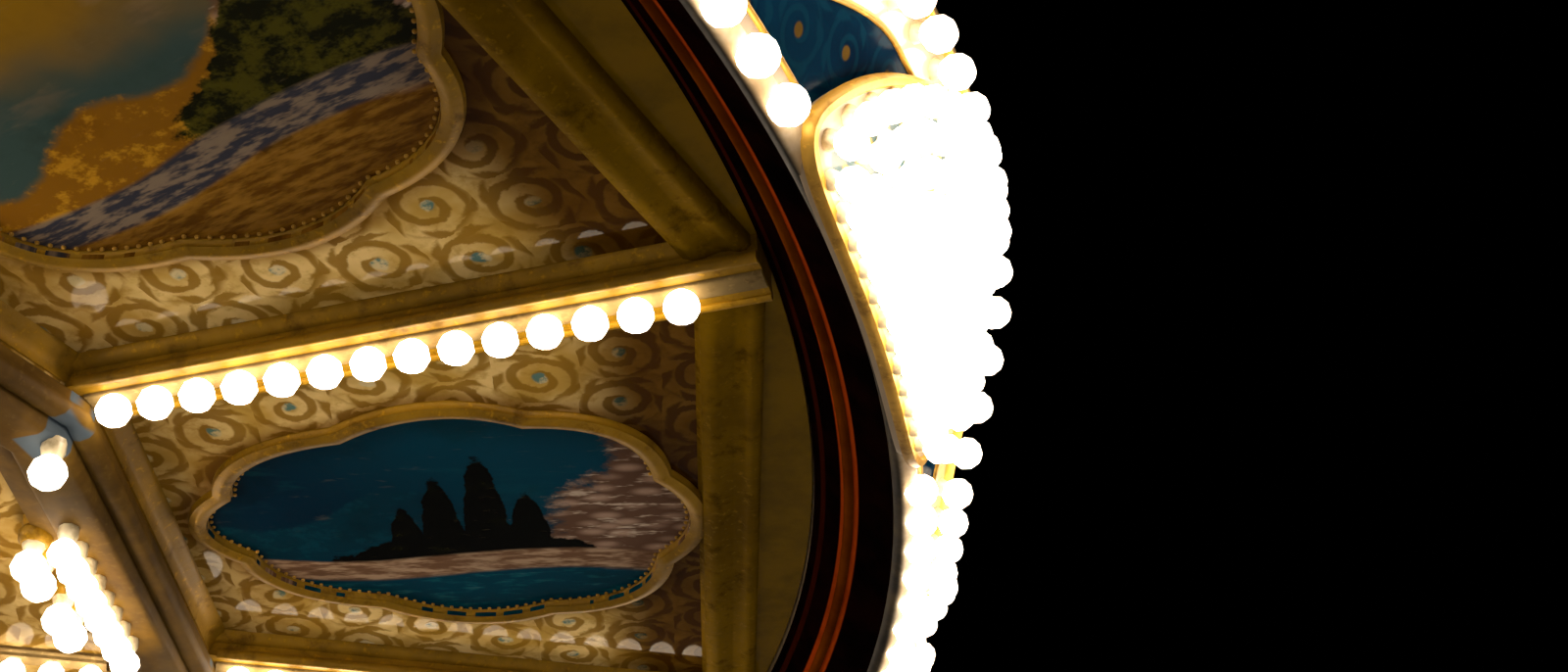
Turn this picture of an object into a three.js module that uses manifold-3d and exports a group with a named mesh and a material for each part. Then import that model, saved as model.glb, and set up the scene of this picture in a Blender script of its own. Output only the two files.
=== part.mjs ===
// The canopy of a round fairground ride, on the fixed mast that carries it.
// Twelve sweeps run out from a turning hub. Painted ceiling panels lie on their ledges, a dropped
// inner ceiling hangs under them, and a leaning rounding board closes each sweep's outer end.
// Millimetres, +Z up, origin on the ground at the middle of the mast, +X along the first sweep.

import * as THREE from "three";
import { mergeVertices } from "three/addons/utils/BufferGeometryUtils.js";
import Module from "manifold-3d";

const wasm = await Module();
wasm.setup();

// Driving dimensions
const SECTORS = 12;
const RIM_RADIUS = 4390; // outer edge of the painted ceiling
const CEILING_HEIGHT = 4335; // underside of the painted panels
const SWEEP_BOTTOM = 4262; // underside of the sweeps, where the lamps sit
const SWEEP_WIDTH = 140;
const WEB_WIDTH = 60;
const HUB_FLAT = 560; // axis to each flat side of the hub
const MAST_RADIUS = 160;
const RING_RADIUS = 2680; // corners of the dropped inner ceiling
const TOTAL_HEIGHT = 7350;
const FIT = 0.3; // gap kept between pieces that rest on each other

// Ceiling panels
const PANEL_THICKNESS = 25;
const PANEL_INNER_RADIUS = 2480;
const OUTER_STRIP_WIDTH = 150;
const STRIP_DEPTH = 32;
const INNER_RISER_WIDTH = 60;
const OVAL_CENTRE = 3385;
const OVAL_HALF_LENGTH = 690;
const OVAL_HALF_WIDTH = 540;
const OVAL_SWELL = 0.16; // how much wider the oval is towards the rim
const OVAL_LOBES = 8;
const OVAL_LOBE_DEPTH = 0.07;
const OVAL_FRAME_WIDTH = 45;
const OVAL_FRAME_DEPTH = 22;
const OVAL_STEPS = 48;

// Rounding boards, as lines in the plane of radius and height
const SOFFIT_INNER = [4395, 4318];
const SOFFIT_OUTER = [4604, 4100];
const NOSE = [4632, 4095];
const FACE_LEAN = [0.463, 0.886]; // unit vector up the outer face
const BOARD_THICKNESS = 28;
const SOFFIT_LIP = 34;
const CREST_AT_SWEEP = 600; // slope height of the crest above the nose
const CREST_BETWEEN = 285;
const CREST_HIGH_ANGLE = 5; // degrees from the sweep where the high part of the crest ends
const CREST_LOW_ANGLE = 13.2;
const SHIELD_HALF_WIDTH = 640;
const SHIELD_HEIGHT = 500;
const SHIELD_THICKNESS = 36;
const RING_STEPS = 96;

// Inner ceiling and hub
const INNER_SLAB = 20;
const BAND_WIDTH = 260;
const BAND_DEPTH = 57;
const HUB_FLANGE_RADIUS = 660;
const HUB_BOTTOM = 4150;
const HUB_TOP = 4730;
const SLEEVE_RADIUS = 230;
const BORE_CLEARANCE = 5;
const ROOF_SEAT_RADIUS = 440;
const ROOF_SEAT = 6150;
const ROOF_SEAT_THICKNESS = 40;

// Roof
const ROOF_THICKNESS = 25;
const ROOF_STEPS = 48;
const EAVE = [4690, 4292];
const ROOF_TOP_RING = 30;

// Mast and ground frame
const GROUND_BEAM_LENGTH = 5400;
const GROUND_BEAM_WIDTH = 220;
const GROUND_BEAM_BOTTOM = 110;
const GROUND_BEAM_TOP = 330;
const FOOT_DISTANCE = 2480;
const FOOT_RADIUS = 190;
const FOOT_THICKNESS = 40;
const JACK_RADIUS = 60;
const CENTRE_PLATE_RADIUS = 620;
const CENTRE_PLATE_THICKNESS = 30;
const THRUST_COLLAR_RADIUS = 300;

const SECTOR_ANGLE = (2 * Math.PI) / SECTORS;
const HALF_SECTOR = SECTOR_ANGLE / 2;
const QUARTERS = 4;

function paint(color, roughness, metalness) {
  return new THREE.MeshStandardMaterial({ color, roughness, metalness });
}

const gilding = paint(0x8a6a24, 0.42, 0.35);
const panelPaint = paint(0xa9884a, 0.35, 0.0);
const boardBlue = paint(0x0f4a66, 0.4, 0.0);
const innerPaint = paint(0xb2914f, 0.4, 0.0);
const roofPaint = paint(0xd9ccab, 0.55, 0.0);
const steelPaint = paint(0x3b1512, 0.5, 0.2);

// A closed three.js geometry as a manifold solid.
function toSolid(geometry) {
  const bare = geometry.index ? geometry.toNonIndexed() : geometry.clone();
  bare.deleteAttribute("normal");
  bare.deleteAttribute("uv");
  const merged = mergeVertices(bare, 1e-3);
  return new wasm.Manifold(
    new wasm.Mesh({
      numProp: 3,
      vertProperties: merged.attributes.position.array,
      triVerts: new Uint32Array(merged.index.array),
    }),
  );
}

// A manifold solid as a three.js geometry.
function toGeometry(solid) {
  const mesh = solid.getMesh();
  const count = mesh.numVert;
  const positions = new Float32Array(count * 3);
  for (let i = 0; i < count; i += 1) {
    positions.set(mesh.vertProperties.subarray(i * mesh.numProp, i * mesh.numProp + 3), i * 3);
  }
  const geometry = new THREE.BufferGeometry();
  geometry.setAttribute("position", new THREE.BufferAttribute(positions, 3));
  geometry.setIndex(new THREE.BufferAttribute(new Uint32Array(mesh.triVerts), 1));
  return geometry;
}

function join(...geometries) {
  return toGeometry(geometries.map(toSolid).reduce((whole, piece) => whole.add(piece)));
}

function cut(geometry, ...tools) {
  return toGeometry(tools.map(toSolid).reduce((left, tool) => left.subtract(tool), toSolid(geometry)));
}

function keepInside(geometry, ...limits) {
  return toGeometry(limits.map(toSolid).reduce((left, limit) => left.intersect(limit), toSolid(geometry)));
}

function box(low, high) {
  const size = high.map((value, axis) => value - low[axis]);
  const middle = high.map((value, axis) => (value + low[axis]) / 2);
  return new THREE.BoxGeometry(...size).translate(...middle);
}

function cylinder(radius, bottom, top, steps) {
  const height = top - bottom;
  return new THREE.CylinderGeometry(radius, radius, height, steps)
    .rotateX(Math.PI / 2)
    .translate(0, 0, bottom + height / 2);
}

function outline(points) {
  return new THREE.Shape(points.map(([x, y]) => new THREE.Vector2(x, y)));
}

// A plan shape raised from one height to another.
function raise(shape, bottom, top, curveSegments = 12) {
  return new THREE.ExtrudeGeometry(shape, { depth: top - bottom, bevelEnabled: false, curveSegments }).translate(
    0,
    0,
    bottom,
  );
}

// A side view in radius and height, as a plate of the given width about the XZ plane.
function plate(points, width) {
  return new THREE.ExtrudeGeometry(outline(points), { depth: width, bevelEnabled: false })
    .rotateX(Math.PI / 2)
    .translate(0, width / 2, 0);
}

// A profile of radius and height turned round the Z axis. The profile starts and ends on the axis
// or closes on itself, and runs anticlockwise when radius is drawn to the right and height up.
function turn(profile, steps, closes) {
  const points = profile.map(([radius, height]) => new THREE.Vector2(radius, height));
  if (closes) {
    points.push(points[0].clone());
  }
  return new THREE.LatheGeometry(points, steps).rotateX(Math.PI / 2);
}

// A wedge of the whole height about +X, from the axis outwards.
function wedge(halfAngle, reach) {
  const side = [reach, reach * Math.tan(halfAngle)];
  return raise(outline([[0, 0], [side[0], -side[1]], side]), 0, TOTAL_HEIGHT);
}

function alongFace(slope) {
  return [NOSE[0] + FACE_LEAN[0] * slope, NOSE[1] + FACE_LEAN[1] * slope];
}

function insideFace(slope) {
  const [radius, height] = alongFace(slope);
  return [radius - FACE_LEAN[1] * BOARD_THICKNESS, height + FACE_LEAN[0] * BOARD_THICKNESS];
}

// Height of the soffit plate's upper side at a radius.
function soffitTop(radius) {
  const fall = (SOFFIT_OUTER[1] - SOFFIT_INNER[1]) / (SOFFIT_OUTER[0] - SOFFIT_INNER[0]);
  return SOFFIT_INNER[1] + SOFFIT_LIP + fall * (radius - SOFFIT_INNER[0]);
}

// Where the soffit plate's upper side meets the inside of the leaning face.
function valley() {
  const fall = (SOFFIT_OUTER[1] - SOFFIT_INNER[1]) / (SOFFIT_OUTER[0] - SOFFIT_INNER[0]);
  const start = insideFace(0);
  const slope = (soffitTop(start[0]) - start[1]) / (FACE_LEAN[1] - fall * FACE_LEAN[0]);
  return insideFace(slope);
}

// One radial beam: a box below the ceiling, a narrow web above it, and an outrigger in the board.
function sweepGeometry() {
  const outriggerTop = EAVE[1] - FIT;
  const reachSlope = (outriggerTop - valley()[1]) / FACE_LEAN[1];
  // The board's flat facets come this much closer to the axis at the web's sides than at its middle.
  const facetDip = (WEB_WIDTH / 2) * Math.tan(Math.PI / RING_STEPS);
  const tip = [valley()[0] + FACE_LEAN[0] * reachSlope - facetDip - FIT, outriggerTop];
  const low = valley()[0] - facetDip - 2 * FIT - 6;
  const lowHeight = soffitTop(low) + FIT;
  const webStart = CEILING_HEIGHT - 20;
  const beam = box(
    [HUB_FLAT + FIT, -SWEEP_WIDTH / 2, SWEEP_BOTTOM],
    [RIM_RADIUS - 1, SWEEP_WIDTH / 2, CEILING_HEIGHT],
  );
  const web = plate(
    [
      [HUB_FLAT + FIT, webStart],
      [RIM_RADIUS - 1, webStart],
      [RIM_RADIUS - 1, soffitTop(RIM_RADIUS - 1) + FIT],
      [low, lowHeight],
      tip,
      [EAVE[0] - 70, outriggerTop],
      [RIM_RADIUS, 4384],
      [HUB_FLAT + FIT, HUB_TOP - 10],
    ],
    WEB_WIDTH,
  );
  return join(beam, web);
}

// Outline of the painted oval, wider towards the rim, grown outwards by a margin.
function ovalPoints(margin) {
  return Array.from({ length: OVAL_STEPS }, (_, step) => {
    const turnAngle = (2 * Math.PI * step) / OVAL_STEPS;
    const swell = 1 + OVAL_SWELL * Math.cos(turnAngle);
    const lobe = 1 - OVAL_LOBE_DEPTH * (1 - Math.abs(Math.cos((OVAL_LOBES * turnAngle) / 2)));
    return [
      OVAL_CENTRE + (OVAL_HALF_LENGTH * lobe + margin) * Math.cos(turnAngle),
      (OVAL_HALF_WIDTH * lobe * swell + margin) * Math.sin(turnAngle),
    ];
  });
}

// One painted panel between two sweeps, about +X: board, outer strip, inner riser and oval frame.
function ceilingPanelGeometry() {
  const bottom = CEILING_HEIGHT + FIT;
  const edge = WEB_WIDTH / 2 + 2 * FIT;
  // A point on the panel's straight side, beside the web of the neighbouring sweep.
  const sidePoint = (radius) => {
    const reach = Math.sqrt(radius * radius - edge * edge);
    return [
      reach * Math.cos(HALF_SECTOR) + edge * Math.sin(HALF_SECTOR),
      reach * Math.sin(HALF_SECTOR) - edge * Math.cos(HALF_SECTOR),
    ];
  };
  const [innerX, innerY] = sidePoint(PANEL_INNER_RADIUS);
  const [outerX, outerY] = sidePoint(RIM_RADIUS);
  const rimAngle = Math.atan2(outerY, outerX);
  const board = new THREE.Shape();
  board.moveTo(innerX, -innerY);
  board.lineTo(outerX, -outerY);
  board.absarc(0, 0, RIM_RADIUS, -rimAngle, rimAngle, false);
  board.lineTo(innerX, innerY);
  board.closePath();

  // Strips hang below the board, so they stop at the wider part of the sweeps.
  const clear = SWEEP_WIDTH / 2 + 2 * FIT;
  const halfChord = (x) => x * Math.tan(HALF_SECTOR) - clear / Math.cos(HALF_SECTOR);
  const strip = (inner, outer) => [
    [inner, -halfChord(inner)],
    [outer, -halfChord(outer)],
    [outer, halfChord(outer)],
    [inner, halfChord(inner)],
  ];
  const stripOuter = RIM_RADIUS * Math.cos(HALF_SECTOR);
  const riserOuter = RING_RADIUS * Math.cos(HALF_SECTOR);
  const overlap = bottom + PANEL_THICKNESS / 2;
  const outerStrip = raise(
    outline(strip(stripOuter - OUTER_STRIP_WIDTH, stripOuter)),
    CEILING_HEIGHT - STRIP_DEPTH,
    overlap,
  );
  const riser = raise(outline(strip(riserOuter - INNER_RISER_WIDTH, riserOuter)), SWEEP_BOTTOM, overlap);
  const frameShape = outline(ovalPoints(OVAL_FRAME_WIDTH / 2));
  frameShape.holes.push(outline(ovalPoints(-OVAL_FRAME_WIDTH / 2)));
  const frame = raise(frameShape, CEILING_HEIGHT - OVAL_FRAME_DEPTH, overlap);
  return join(raise(board, bottom, bottom + PANEL_THICKNESS, 12), outerStrip, riser, frame);
}

// Slope height of the crest at a distance across from the sweep: high over the shield, low between.
function crestSlope(across) {
  const degrees = (Math.asin(Math.abs(across) / (NOSE[0] + 180)) * 180) / Math.PI;
  const share = THREE.MathUtils.smoothstep(degrees, CREST_HIGH_ANGLE, CREST_LOW_ANGLE);
  const peak = 0.06 * Math.cos(Math.min(1, degrees / CREST_HIGH_ANGLE) * Math.PI * 0.5);
  return CREST_AT_SWEEP * (1 - 0.06 + peak) * (1 - share) + CREST_BETWEEN * share;
}

// Front view of a rounding board, from below its nose up to the crest.
function crestOutline() {
  const half = NOSE[0] * Math.tan(HALF_SECTOR) * 1.2;
  const steps = 36;
  const top = Array.from({ length: steps + 1 }, (_, step) => {
    const across = half - (2 * half * step) / steps;
    return [across, alongFace(crestSlope(across))[1]];
  });
  return outline([[-half, NOSE[1] - 200], [half, NOSE[1] - 200], ...top]);
}

// The shield at a sweep's end, as a front view with its foot below the nose.
function shieldOutline() {
  const shape = new THREE.Shape();
  const high = SHIELD_HEIGHT;
  const side = SHIELD_HALF_WIDTH;
  shape.moveTo(0, -50);
  shape.bezierCurveTo(side * 0.8, -50, side * 1.05, -40, side * 0.95, high * 0.2);
  shape.bezierCurveTo(side * 0.83, high * 0.54, side * 0.5, high * 0.98, 0, high);
  shape.bezierCurveTo(-side * 0.5, high * 0.98, -side * 0.83, high * 0.54, -side * 0.95, high * 0.2);
  shape.bezierCurveTo(-side * 1.05, -40, -side * 0.8, -50, 0, -50);
  return shape;
}

// Turns a front view with its foot at the nose into a prism that leans as the face does.
function leaningPrism(shape, depth, curveSegments) {
  const lean = Math.atan2(FACE_LEAN[0], FACE_LEAN[1]);
  return new THREE.ExtrudeGeometry(shape, { depth, bevelEnabled: false, curveSegments })
    .translate(0, 0, -depth / 2)
    .rotateX(Math.PI / 2)
    .rotateZ(Math.PI / 2)
    .rotateY(lean)
    .translate(NOSE[0], 0, NOSE[1]);
}

// A point off the outer face by a distance along its normal.
function offFace(slope, distance) {
  const [radius, height] = alongFace(slope);
  return [radius + FACE_LEAN[1] * distance, height - FACE_LEAN[0] * distance];
}

// One rounding board about +X: sloping soffit, leaning face with a crest, and its shield.
function roundingBoardGeometry() {
  const top = CREST_AT_SWEEP + 60;
  const section = [
    SOFFIT_INNER,
    SOFFIT_OUTER,
    NOSE,
    alongFace(top),
    insideFace(top),
    valley(),
    [SOFFIT_INNER[0], SOFFIT_INNER[1] + SOFFIT_LIP],
  ];
  const ring = turn(section, RING_STEPS, true);
  const jointGap = 0.002 * (Math.PI / 180);
  const front = new THREE.ExtrudeGeometry(crestOutline(), { depth: 1200, bevelEnabled: false })
    .rotateX(Math.PI / 2)
    .rotateZ(Math.PI / 2)
    .translate(NOSE[0] - 600, 0, 0);
  const shell = keepInside(ring, wedge(HALF_SECTOR - jointGap, RIM_RADIUS * 1.3), front);
  // The shield is a second skin over the outer face, cut to its own outline.
  const skin = turn(
    [
      offFace(-60, -10),
      offFace(-60, SHIELD_THICKNESS),
      offFace(top, SHIELD_THICKNESS),
      offFace(top, -10),
    ],
    RING_STEPS,
    true,
  );
  return join(shell, keepInside(skin, leaningPrism(shieldOutline(), 400, 6)));
}

// A quarter of the dropped inner ceiling, from the hub out to the deep band.
function innerCeilingGeometry() {
  const top = SWEEP_BOTTOM - FIT;
  const inner = (HUB_FLAT / Math.cos(HALF_SECTOR) + 2) / Math.cos(HALF_SECTOR);
  const ring = turn(
    [
      [inner, top - INNER_SLAB],
      [RING_RADIUS - BAND_WIDTH, top - INNER_SLAB],
      [RING_RADIUS - BAND_WIDTH, top - BAND_DEPTH],
      [RING_RADIUS, top - BAND_DEPTH],
      [RING_RADIUS, top],
      [inner, top],
    ],
    SECTORS,
    true,
  );
  return keepInside(ring, box([FIT, FIT, 0], [RIM_RADIUS, RIM_RADIUS, TOTAL_HEIGHT]));
}

// The turning hub: a twelve-sided drum, a flange under it, a sleeve up the mast and the roof seat.
function hubGeometry() {
  const drumCorner = HUB_FLAT / Math.cos(HALF_SECTOR);
  // A cylinder's first corner lies on +X once upright, so half a sector turns its flats to the sweeps.
  const drum = cylinder(drumCorner, HUB_BOTTOM + 20, HUB_TOP, SECTORS).rotateZ(HALF_SECTOR);
  const flange = cylinder(HUB_FLANGE_RADIUS, HUB_BOTTOM, SWEEP_BOTTOM - INNER_SLAB - 2 * FIT, ROOF_STEPS);
  const sleeve = cylinder(SLEEVE_RADIUS, HUB_TOP - 20, ROOF_SEAT + ROOF_TOP_RING, 32);
  const seat = cylinder(ROOF_SEAT_RADIUS, ROOF_SEAT - ROOF_SEAT_THICKNESS, ROOF_SEAT, 32);
  const bore = cylinder(MAST_RADIUS + BORE_CLEARANCE, 0, TOTAL_HEIGHT, 32);
  return cut(join(drum, flange, sleeve, seat), bore);
}

function mastGeometry() {
  const foot = GROUND_BEAM_TOP + CENTRE_PLATE_THICKNESS + FIT;
  const collarTop = HUB_BOTTOM - FIT;
  return turn(
    [
      [0, foot],
      [440, foot],
      [440, foot + 40],
      [300, foot + 60],
      [240, foot + 260],
      [MAST_RADIUS + 20, foot + 420],
      [MAST_RADIUS, foot + 470],
      [MAST_RADIUS, collarTop - 190],
      [MAST_RADIUS + 60, collarTop - 120],
      [THRUST_COLLAR_RADIUS, collarTop - 70],
      [THRUST_COLLAR_RADIUS, collarTop],
      [MAST_RADIUS, collarTop],
      [MAST_RADIUS, ROOF_SEAT - 60],
      [0, ROOF_SEAT - 60],
    ],
    32,
    false,
  );
}

function groundFrameGeometry() {
  const half = GROUND_BEAM_LENGTH / 2;
  const side = GROUND_BEAM_WIDTH / 2;
  const along = box([-half, -side, GROUND_BEAM_BOTTOM], [half, side, GROUND_BEAM_TOP]);
  const across = box([-side, -half, GROUND_BEAM_BOTTOM], [side, half, GROUND_BEAM_TOP]);
  const plateTop = GROUND_BEAM_TOP + CENTRE_PLATE_THICKNESS;
  const centrePlate = cylinder(CENTRE_PLATE_RADIUS, GROUND_BEAM_TOP - 10, plateTop, 24);
  const feet = [0, 1, 2, 3].flatMap((quarter) => {
    const place = (geometry) => geometry.translate(FOOT_DISTANCE, 0, 0).rotateZ((quarter * Math.PI) / 2);
    return [
      place(cylinder(FOOT_RADIUS, 0, FOOT_THICKNESS, 24)),
      place(cylinder(JACK_RADIUS, FOOT_THICKNESS - 10, GROUND_BEAM_BOTTOM + 10, 16)),
    ];
  });
  return join(along, across, centrePlate, ...feet);
}

// The bell-shaped roof shell, from the eave inside the crest up to the ring on the hub's seat.
function roofGeometry() {
  const seat = ROOF_SEAT + FIT;
  return turn(
    [
      [EAVE[0] - 12, EAVE[1]],
      [EAVE[0], EAVE[1]],
      [EAVE[0], EAVE[1] + ROOF_THICKNESS],
      [3100, 4865],
      [1750, 5330],
      [820, 5830],
      [470, seat + ROOF_TOP_RING],
      [SLEEVE_RADIUS + 10, seat + ROOF_TOP_RING],
      [SLEEVE_RADIUS + 10, seat],
      [ROOF_SEAT_RADIUS + 10, seat],
      [800, 5800],
      [1740, 5303],
      [3095, 4838],
    ],
    ROOF_STEPS,
    true,
  );
}

function finialGeometry() {
  const foot = ROOF_SEAT + ROOF_TOP_RING + 2 * FIT;
  return turn(
    [
      [0, foot],
      [400, foot],
      [400, foot + 50],
      [300, foot + 80],
      [240, foot + 230],
      [150, foot + 290],
      [130, foot + 330],
      [230, foot + 400],
      [275, foot + 500],
      [250, foot + 610],
      [150, foot + 690],
      [80, foot + 740],
      [70, foot + 800],
      [22, foot + 1100],
      [0, TOTAL_HEIGHT],
    ],
    24,
    false,
  );
}

function piece(name, geometry, material, angle = 0) {
  const mesh = new THREE.Mesh(geometry, material);
  mesh.name = name;
  mesh.rotation.z = angle;
  return mesh;
}

function numbered(name, index) {
  return `${name}_${String(index + 1).padStart(2, "0")}`;
}

const carousel = new THREE.Group();
carousel.add(piece("ground_frame", groundFrameGeometry(), steelPaint));
carousel.add(piece("mast", mastGeometry(), steelPaint));
carousel.add(piece("hub", hubGeometry(), gilding));

const sweep = sweepGeometry();
const ceilingPanel = ceilingPanelGeometry();
const roundingBoard = roundingBoardGeometry();
for (let index = 0; index < SECTORS; index += 1) {
  const angle = index * SECTOR_ANGLE;
  carousel.add(piece(numbered("sweep", index), sweep, gilding, angle));
  carousel.add(piece(numbered("ceiling_panel", index), ceilingPanel, panelPaint, angle + HALF_SECTOR));
  carousel.add(piece(numbered("rounding_board", index), roundingBoard, boardBlue, angle));
}

const innerCeiling = innerCeilingGeometry();
for (let quarter = 0; quarter < QUARTERS; quarter += 1) {
  carousel.add(piece(numbered("inner_ceiling", quarter), innerCeiling, innerPaint, (quarter * Math.PI) / 2));
}

carousel.add(piece("roof", roofGeometry(), roofPaint));
carousel.add(piece("finial", finialGeometry(), gilding));

export default carousel;
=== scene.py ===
# Looks for a fairground carousel's canopy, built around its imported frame.
# Metres, +Z up, origin on the ground under the mast, +X along the first sweep.

import math

import bpy
import numpy as np
from mathutils import Matrix, Vector


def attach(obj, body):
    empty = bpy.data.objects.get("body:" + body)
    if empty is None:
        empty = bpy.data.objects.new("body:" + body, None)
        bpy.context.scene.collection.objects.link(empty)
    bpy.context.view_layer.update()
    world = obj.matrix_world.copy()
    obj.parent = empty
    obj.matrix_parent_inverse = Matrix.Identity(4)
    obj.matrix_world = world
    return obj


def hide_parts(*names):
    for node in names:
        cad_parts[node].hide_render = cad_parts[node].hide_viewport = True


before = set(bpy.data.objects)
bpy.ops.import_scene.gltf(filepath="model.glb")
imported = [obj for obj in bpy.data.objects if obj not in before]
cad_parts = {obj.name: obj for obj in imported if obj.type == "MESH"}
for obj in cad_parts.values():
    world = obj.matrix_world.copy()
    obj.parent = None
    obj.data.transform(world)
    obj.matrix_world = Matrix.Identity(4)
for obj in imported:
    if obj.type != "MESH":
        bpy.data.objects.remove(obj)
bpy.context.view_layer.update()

# Sizes that the frame has too, but for the 0.3 mm gap that it keeps under the panels and the roof
SECTORS = 12
SECTOR = 2 * math.pi / SECTORS
HALF_SECTOR = SECTOR / 2
SECTOR_ANGLES = np.arange(SECTORS) * SECTOR
PANEL_ANGLES = SECTOR_ANGLES + HALF_SECTOR
RIM_RADIUS = 4.39
CEILING_HEIGHT = 4.335
SWEEP_BOTTOM = 4.262
SWEEP_WIDTH = 0.14
RING_RADIUS = 2.68
BAND_WIDTH = 0.26
BAND_BOTTOM = 4.2047
INNER_BOTTOM = 4.2417
HUB_BOTTOM = 4.15
OVAL_CENTRE = 3.385
OVAL_HALF_LENGTH = 0.69
OVAL_HALF_WIDTH = 0.54
OVAL_SWELL = 0.16
OVAL_LOBES = 8
OVAL_LOBE_DEPTH = 0.07
SOFFIT_INNER = (4.395, 4.318)
SOFFIT_OUTER = (4.604, 4.1)
SOFFIT_LIP = 0.034
NOSE = (4.632, 4.095)
FACE_LEAN = (0.463, 0.886)
BOARD_THICKNESS = 0.028
BACK_FOOT = 0.0166
CREST_AT_SWEEP = 0.6
CREST_BETWEEN = 0.285
CREST_HIGH_ANGLE = 5.0
CREST_LOW_ANGLE = 13.2
SHIELD_HALF_WIDTH = 0.64
SHIELD_HEIGHT = 0.5
ROOF_PROFILE = ((4.69, 4.317), (3.1, 4.865), (1.75, 5.33), (0.82, 5.83), (0.47, 6.18))
ROOF_HOLE_RADIUS = 0.24
ROOF_TOP = 6.18
FINIAL_FOOT = 6.1806
MAST_FOOT = 0.3603
MAST_RADIUS = 0.16
MAST_TOP = 6.09
COLLAR_TOP = 4.1497
JACK_DISTANCE = 2.48

# Trim
CARTOUCHE_STEPS = 240
BOARD_ANGLES = np.linspace(-HALF_SECTOR + 1e-4, HALF_SECTOR - 1e-4, 81)
LOWER_BAND = 0.075
UPPER_BAND = 0.16
SHIELD_MIDDLE = np.array([0.0, 0.17])
SOFFIT_LINE = 4.485
PANEL_CLEARANCE = 0.0712
BOARD_STEPS = 60
UV_RADIUS = 4.75
SHIELD_STEPS = 72
RAIL_RADIUS = 2.567

# Lamps
LAMP_PITCH = 0.11
LAMP_HEIGHT = 4.222
LAMP_RADIUS = 0.044
FIRST_LAMP = 2.76
LAMPS_ON_SWEEP = 14
INNER_LAMP_HEIGHT = 4.184
FIRST_INNER_LAMP = 0.8
INNER_LAMPS_ON_SWEEP = 15
RING_LAMP_HEIGHT = 4.07
RING_LAMP_LINE = 2.46
RING_LAMP_PITCH = 0.086
CLUSTER_HEIGHT = 4.1
NOSE_LAMPS = 17
NOSE_LAMP_LEAST_ANGLE = 0.145
CREST_LAMP_PITCH = 0.14
CREST_LAMP_DROP = 0.085
SHIELD_LAMP_PITCH = 0.09


# Meshes


class Form:
    """Points and faces gathered into one piece. faces is a list of arrays whose rows are point numbers,
    marks gives each of those arrays the number of its finish, and uv gives each point two numbers."""

    def __init__(self, points, faces, uv=None):
        self.points = np.asarray(points, float).reshape(-1, 3)
        self.faces = faces
        self.marks = [0] * len(faces)
        self.uv = np.zeros((len(self.points), 2)) if uv is None else uv.reshape(-1, 2)

    def copies(self, placed):
        """The same form once for each row of placed, an array (count, points, 3)."""
        count, size = placed.shape[:2]
        steps = (np.arange(count) * size)[:, None, None]
        faces = [(rows[None] + steps).reshape(-1, rows.shape[1]) for rows in self.faces]
        out = Form(placed, faces, np.tile(self.uv, (count, 1)))
        out.marks = self.marks
        return out

    def at_spots(self, spots):
        """The same form moved to each spot."""
        return self.copies(self.points[None] + np.asarray(spots, float)[:, None])

    def around(self, angles):
        """The same form turned about Z by each angle: x' = x cos a - y sin a, y' = x sin a + y cos a."""
        return self.copies(np.stack([turned(self.points, angle) for angle in angles]))

    def outward(self):
        """Turns every face round if the volume summed over the faces comes out negative."""
        total = 0.0
        for rows in self.faces:
            first = self.points[rows[:, 0]]
            for k in range(1, rows.shape[1] - 1):
                second, third = self.points[rows[:, k]], self.points[rows[:, k + 1]]
                total += np.einsum("ij,ij->", first, np.cross(second, third))
        if total < 0:
            self.faces = [rows[:, ::-1] for rows in self.faces]
        return self


def joined(*forms):
    """One form holding all the points and faces of several."""
    starts = np.cumsum([0] + [len(form.points) for form in forms])
    faces = [rows + start for form, start in zip(forms, starts) for rows in form.faces]
    out = Form(np.vstack([form.points for form in forms]), faces, np.vstack([form.uv for form in forms]))
    out.marks = [mark for form in forms for mark in form.marks]
    return out


def turned(points, angle):
    """Points turned about Z by an angle."""
    c, s = math.cos(angle), math.sin(angle)
    x, y, z = points[..., 0], points[..., 1], points[..., 2]
    return np.stack([x * c - y * s, x * s + y * c, z], -1)


def at(angle, radius, height):
    """Cylindrical to straight coordinates."""
    return np.stack([radius * np.cos(angle), radius * np.sin(angle), height + 0 * angle], -1)


def turns(count):
    """The angles of a full turn in even steps."""
    return np.arange(count) * 2 * math.pi / count


def unit(vectors):
    """Each vector drawn to length 1."""
    return vectors / np.linalg.norm(vectors, axis=-1, keepdims=True)


def grid(points, closed=False, uv=None):
    """Sections of points (rows, columns, 3), each closed round, joined by quads. The rows close into
    a ring, or else the first and the last end in a face."""
    rows, columns = points.shape[:2]
    index = np.arange(rows * columns).reshape(rows, columns)
    ends = [] if closed else [index[:1], index[-1:, ::-1]]
    if closed:
        index = np.vstack([index, index[:1]])
    index = np.hstack([index, index[:, :1]])
    quads = np.stack([index[:-1, :-1], index[1:, :-1], index[1:, 1:], index[:-1, 1:]], -1).reshape(-1, 4)
    return Form(points, [quads, *ends], uv).outward()


def capped(rings, tips, uv=None):
    """Rings of points (rings, steps, 3) joined by quads, with a fan of triangles from the first ring
    to the first tip and from the last ring to the second."""
    count, steps = rings.shape[0] * rings.shape[1], rings.shape[1]
    index = np.arange(count).reshape(-1, steps)
    after = np.roll(index, -1, axis=1)
    quads = np.stack([index[:-1], after[:-1], after[1:], index[1:]], -1).reshape(-1, 4)
    low = np.stack([np.full(steps, count), after[0], index[0]], -1)
    high = np.stack([np.full(steps, count + 1), index[-1], after[-1]], -1)
    return Form(np.vstack([rings.reshape(-1, 3), tips]), [quads, low, high], uv).outward()


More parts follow.
